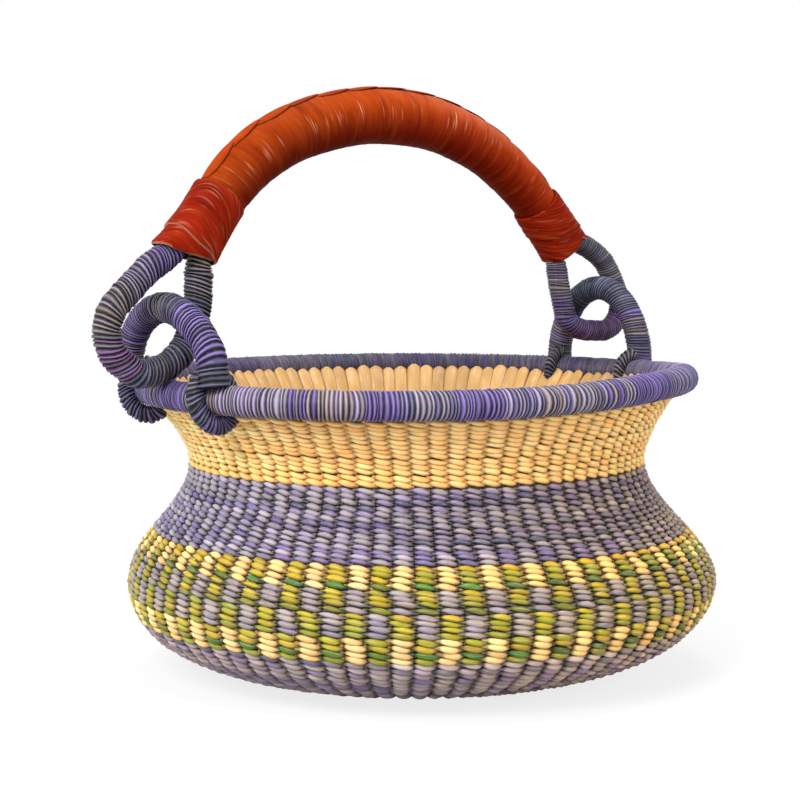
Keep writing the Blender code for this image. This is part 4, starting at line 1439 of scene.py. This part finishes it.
class BASKET_OT_lacing(Operator):
    """Lace the leather along the outer side of the grip"""

    bl_idname = "basket.lacing"
    bl_label = "Grip lacing"

    def execute(self, context):
        leather = settings().leather
        route = arch_route()
        start = CUFF_LENGTH - LACING_START
        run = route.total - 2 * start
        count = leather.stitches
        tubes = Tubes("lacing", count, *LEAF_MESH)
        rng = np.random.default_rng(70)
        t, around = tubes.share, tubes.around
        full = np.clip(np.sin(np.pi * (0.10 + 0.84 * t ** 0.9)), 0, 1) ** 0.6
        tan = dye_table()["tan"]
        # Painted shade along the edges of each leaf
        painted_shade = np.abs(np.cos(around)) ** 6 * 0.55
        edge = CUFF_LENGTH - CUFF_TUCK
        for i in range(count):
            long = run / count * LEAF_OVERLAP
            distance = start + run * i / count + (long * t) - LEAF_BACK * run / count
            distance = np.clip(distance, edge, route.total - CUFF_LENGTH + CUFF_TUCK)
            spots, _, aside, up = route.frames(distance)
            radius = grip_radius(distance / route.total)
            across = leather.leaf_width / 2 * full * np.cos(around) * rng.uniform(*LEAF_WIDTHS)
            lift = leather.leaf_thickness * (0.5 + 0.5 * full * np.sin(around))
            lift = -LEAF_SINK + LEAF_RISE * t + lift
            skew = math.radians(LEAF_SKEW) * math.sin(i * 2.4)
            skew = skew + math.radians(-LEAF_TURN + 2 * LEAF_TURN * (i % 2)) * (t - 0.5)
            angle = across / radius + skew
            crown = 1 if up[0, 2] > 0 else -1
            spokes = turned_about(up * crown, aside, angle)
            places = spots + spokes * (radius + lift)[:, None]
            tubes.add(places, tan * rng.uniform(*LEAF_TONES), painted_shade, t * 2, i)
        mesh, leather = tubes.finished(streak_highlight=0), leather_finish("tanned_leather")
        piece("grip_lacing_leaves", mesh, leather, "handle", "grip_leather", "grip_lacing")
        return {"FINISHED"}


class CuffShape:
    """The cuff's surface by share from its top to its foot, and by angle round it."""

    def __init__(self, end):
        self.end = end
        self.shares = np.linspace(-0.05, 1.15, 49)
        reach = end["cuff"]["lift"] - CUFF_LENGTH
        spots = [from_end(end, CUFF_LENGTH + reach * share) for share in self.shares]
        self.parts = [np.array([tuple(spot[k]) for spot in spots]) for k in range(3)]

    def at(self, share, angle, off):
        cuff = self.end["cuff"]
        point, down, out = (
            np.column_stack([np.interp(share, self.shares, part[:, i]) for i in range(3)])
            for part in self.parts
        )
        flat = np.clip(share, 0, 1)
        wave, cross = np.cos(angle), np.sin(angle)
        late = flat * flat
        outer_side = np.clip(0.5 + wave, 0, 1)
        growth = flat * (1 - outer_side) + flat ** 2.2 * outer_side
        width = cuff["top"] + (cuff["width"] - cuff["top"]) * growth + off
        width = width - cuff["narrow"] * np.clip(0.5 - wave, 0, 1) * (0.5 + 0.5 * flat)
        width = width - cuff["dip"] * outer_side * np.sin(np.pi * flat)
        depth = cuff["top"] + (cuff["depth"] - cuff["top"]) * late + off
        power = 1 - 0.4 * late
        across = width * eased(wave, power)
        place = point + out * across[:, None] + down * (across * cuff["slant"] * late)[:, None]
        place[:, 1] += depth * eased(cross, power)
        return place


# Each cuff's layers: top edge, foot edge by angle, height of the layer, thickness, and lean of
# its creases
CUFF_LAYERS = {
    "left": (
        (0.14, lambda angle: 0.99 - 0.05 * np.clip(-np.cos(angle - 0.2), 0, 1)
         + 0.09 * hump(angle, math.radians(292), 0.22), 0.0, 0.0018, 0.9),
        (0.12, lambda angle: 0.86 - 0.13 * np.cos(angle), 0.0016, 0.0013, 1.1),
    ),
    "right": (
        (0.14, lambda angle: 0.97 - 0.10 * hump(angle, math.radians(300), 0.35),
         0.0, 0.0018, -0.6),
        (0.12, lambda angle: 0.62 + 0.14 * np.cos(angle + 0.4), 0.0014, 0.0011, -0.8),
    ),
}
CUFF_TINT, CUT_COLOUR = (0.92, 0.85, 0.8), (0.75, 0.42, 0.25)
CUFF_CREASE, CUFF_FINE = 0.00030, 0.00016
CUFF_CREASE_SPACING = 0.09
# Painted highlight streaks on the cuffs
CUFF_STREAK_HIGHLIGHT = 0.16


class BASKET_OT_cuffs(Operator):
    """Wrap the leather cuffs over the joints of grip and loops"""

    bl_idname = "basket.cuffs"
    bl_label = "Leather cuffs"

    def execute(self, context):
        red = dye_table()["red"] * CUFF_TINT
        pale = red * 0.4 + np.array(CUT_COLOUR) * 0.6
        along, sides = CUFF_MESH
        rings = 2 * along
        for number, (name, end) in enumerate(ENDS.items()):
            shape = CuffShape(end)
            layers = CUFF_LAYERS[name]
            tubes = Tubes("cuff", len(layers), rings, sides, True)
            ring, angle = tubes.ring, tubes.around
            outer = ring < along
            t = np.where(outer, ring / (along - 1), (rings - 1 - ring) / (along - 1))
            rounded = np.minimum(1, np.sqrt(np.clip(np.minimum(t, 1 - t) * 24, 0, 1)))
            cut = np.clip(1 - np.abs(1 - t) * 40, 0, 1)[:, None] * outer[:, None]
            for top, foot, base, thick, lean in layers:
                share = top + (foot(angle) - top) * t
                strip = share * 4 + lean * np.cos(angle + 0.6)
                spots = ringed_noise(strip / CUFF_CREASE_SPACING, angle, 0.9, number * 5)
                crease = folds(spots)
                fine = folds(spots * (2.6, 1.0, 1.0) + 9)
                off = np.where(outer, base + thick * (0.35 + 0.65 * rounded), base)
                rough = np.where(outer, CUFF_CREASE * crease + CUFF_FINE * fine, 0)
                off = off + rough * rounded
                # Painted light on the crease ridges and painted shade in their hollows, and painted
                # shade on the cuff's inner side
                tone = red * (0.9 + 0.25 * crease[:, None])
                painted_shade = np.clip(-crease - 0.1, 0, 0.45) + np.where(outer, 0, 0.5)
                places = shape.at(share, angle, off - CUFF_SINK)
                tubes.add(places, tone * (1 - cut) + pale * cut, np.clip(painted_shade, 0, 1), strip)
            mesh, leather = tubes.finished(streak_highlight=CUFF_STREAK_HIGHLIGHT), leather_finish("cuff_hide")
            piece(f"{name}_cuff_wrap", mesh, leather, "handle", "cuff_leather", f"{name}_cuff")
        return {"FINISHED"}


# Stage

WHITE = (1, 1, 1, 1)
WORLD_STRENGTH = 0.50
FLOOR_RADIUS, FLOOR_DEPTH = 9, 0.0006
FLOOR_TONES = ((0.55, 0.55, 0.55, 1), (0.92, 0.92, 0.92, 1))
SHADOW_REACH = (0.25, 0.7)
SHADOW_SHARE = 0.20
LAMP_AIM = (0, 0, 0.12)

# Each lamp's place beside the photograph's side, its size and its power
LAMPS = {
    "key": ((-0.8, -1.6, 1.4), 1.0, 42),
    "fill": ((1.5, -1.2, 0.9), 1.2, 17),
    "flank": ((-1.9, -0.25, 0.9), 1.0, 14),
    "top": ((0.1, 0.1, 1.9), 1.4, 18),
}


class BASKET_OT_stage(Operator):
    """Set the floor, the light and the camera"""

    bl_idname = "basket.stage"
    bl_label = "Stage"

    def execute(self, context):
        scene = context.scene
        stage = settings().stage
        scene.view_settings.view_transform = "Standard"

        def hold(name, data):
            holder = bpy.data.objects.new(name, data)
            scene.collection.objects.link(holder)
            return holder

        camera_data = bpy.data.cameras.new("camera")
        camera_data.lens = stage.lens
        camera_data.sensor_width = 36
        camera_data.clip_start = 0.05
        camera = hold("camera", camera_data)
        turn = stage.turn
        right = Vector((math.cos(turn), math.sin(turn), 0))
        back = Vector((math.sin(turn), -math.cos(turn), 0))
        camera.location = back * stage.distance - right * stage.side_step
        camera.location.z = stage.height
        camera.rotation_euler = (TAU / 4 - stage.pitch, 0, turn)
        scene.camera = camera

        scene.world = bpy.data.worlds.new("studio")
        studio = Finish(scene.world)
        studio.nodes.clear()
        direct, glossy, through = (
            studio.node("ShaderNodeLightPath", output=f"Is {kind} Ray")
            for kind in ("Camera", "Glossy", "Transmission")
        )
        settings_seen = {"operation": "ADD", "use_clamp": True}
        seen = studio.node("ShaderNodeMath", settings_seen, {0: direct + glossy, 1: through})
        dim, bright = (
            studio.node("ShaderNodeBackground", None, {"Color": WHITE, "Strength": strength})
            for strength in (WORLD_STRENGTH, 1)
        )
        mixed = studio.node("ShaderNodeMixShader", None, {0: seen, 1: dim, 2: bright})
        studio.node("ShaderNodeOutputWorld", None, {"Surface": mixed})

        bm = bmesh.new()
        down = Matrix.Translation((0, 0, -FLOOR_DEPTH))
        bmesh.ops.create_circle(
            bm, cap_ends=True, segments=96, radius=FLOOR_RADIUS, matrix=down
        )
        mesh = bpy.data.meshes.new("floor")
        bm.to_mesh(mesh)
        bm.free()
        finish = Finish(bpy.data.materials.new("pale_floor"))
        seen = finish.node("ShaderNodeLightPath", output="Is Camera Ray")
        finish.surface(
            Base_Color=finish.mix(seen, *FLOOR_TONES), Roughness=0.9, Specular_IOR_Level=0
        )
        near = finish.node("ShaderNodeTexCoord", output="Object")
        reach = finish.node("ShaderNodeVectorMath", {"operation": "LENGTH"}, {0: near}, output=1)
        kept = 1 - finish.spread(reach, *SHADOW_REACH)
        glow = finish.node("ShaderNodeEmission", None, {"Color": WHITE, "Strength": 1.0})
        factor = seen * (1 - SHADOW_SHARE * kept)
        floor_shader = Value(finish, finish.shader.outputs[0])
        mixed = finish.node("ShaderNodeMixShader", None, {0: factor, 1: floor_shader, 2: glow})
        finish.feed(finish.nodes["Material Output"].inputs["Surface"], mixed)
        mesh.materials.append(finish.owner)
        hold("floor", mesh)

        for name, (spot, size, power) in LAMPS.items():
            lamp = bpy.data.lights.new(name, "AREA")
            lamp.shape = "DISK"
            lamp.size = size
            lamp.energy = power
            holder = hold(name, lamp)
            holder.location = Matrix.Rotation(turn, 3, "Z") @ Vector(spot)
            aim = Vector(LAMP_AIM) - holder.location
            holder.rotation_euler = aim.to_track_quat("-Z", "Y").to_euler()
        return {"FINISHED"}


class BASKET_PT_panel(Panel):
    """Lists the parts of the basket"""

    bl_label = "Twined market basket"
    bl_idname = "BASKET_PT_panel"
    bl_space_type = "VIEW_3D"
    bl_region_type = "UI"
    bl_category = "Basket"

    def draw(self, context):
        column = self.layout.column()
        for step in STEPS:
            column.operator(step.bl_idname)
        for name in ("dyes", "weave", "winding", "leather", "stage"):
            group = getattr(context.scene.basket_settings, name)
            column.label(text=name.capitalize())
            for key in group.bl_rna.properties.keys():
                if key not in ("rna_type", "name"):
                    column.prop(group, key)


GROUPS = (
    BASKET_PG_dyes,
    BASKET_PG_weave,
    BASKET_PG_winding,
    BASKET_PG_leather,
    BASKET_PG_stage,
    BASKET_PG_settings,
)
STEPS = (
    BASKET_OT_stage,
    BASKET_OT_walls,
    BASKET_OT_stakes,
    BASKET_OT_border,
    BASKET_OT_rim,
    BASKET_OT_brackets,
    BASKET_OT_loops,
    BASKET_OT_grip,
    BASKET_OT_lacing,
    BASKET_OT_cuffs,
)
CLASSES = (*GROUPS, *STEPS, BASKET_PT_panel)


def register():
    for cls in CLASSES:
        bpy.utils.register_class(cls)
    bpy.types.Scene.basket_settings = PointerProperty(type=BASKET_PG_settings)


def unregister():
    del bpy.types.Scene.basket_settings
    for cls in reversed(CLASSES):
        bpy.utils.unregister_class(cls)


def main():
    register()
    for step in STEPS:
        group, name = step.bl_idname.split(".")
        getattr(getattr(bpy.ops, group), name)()


if __name__ == "__main__":
    main()
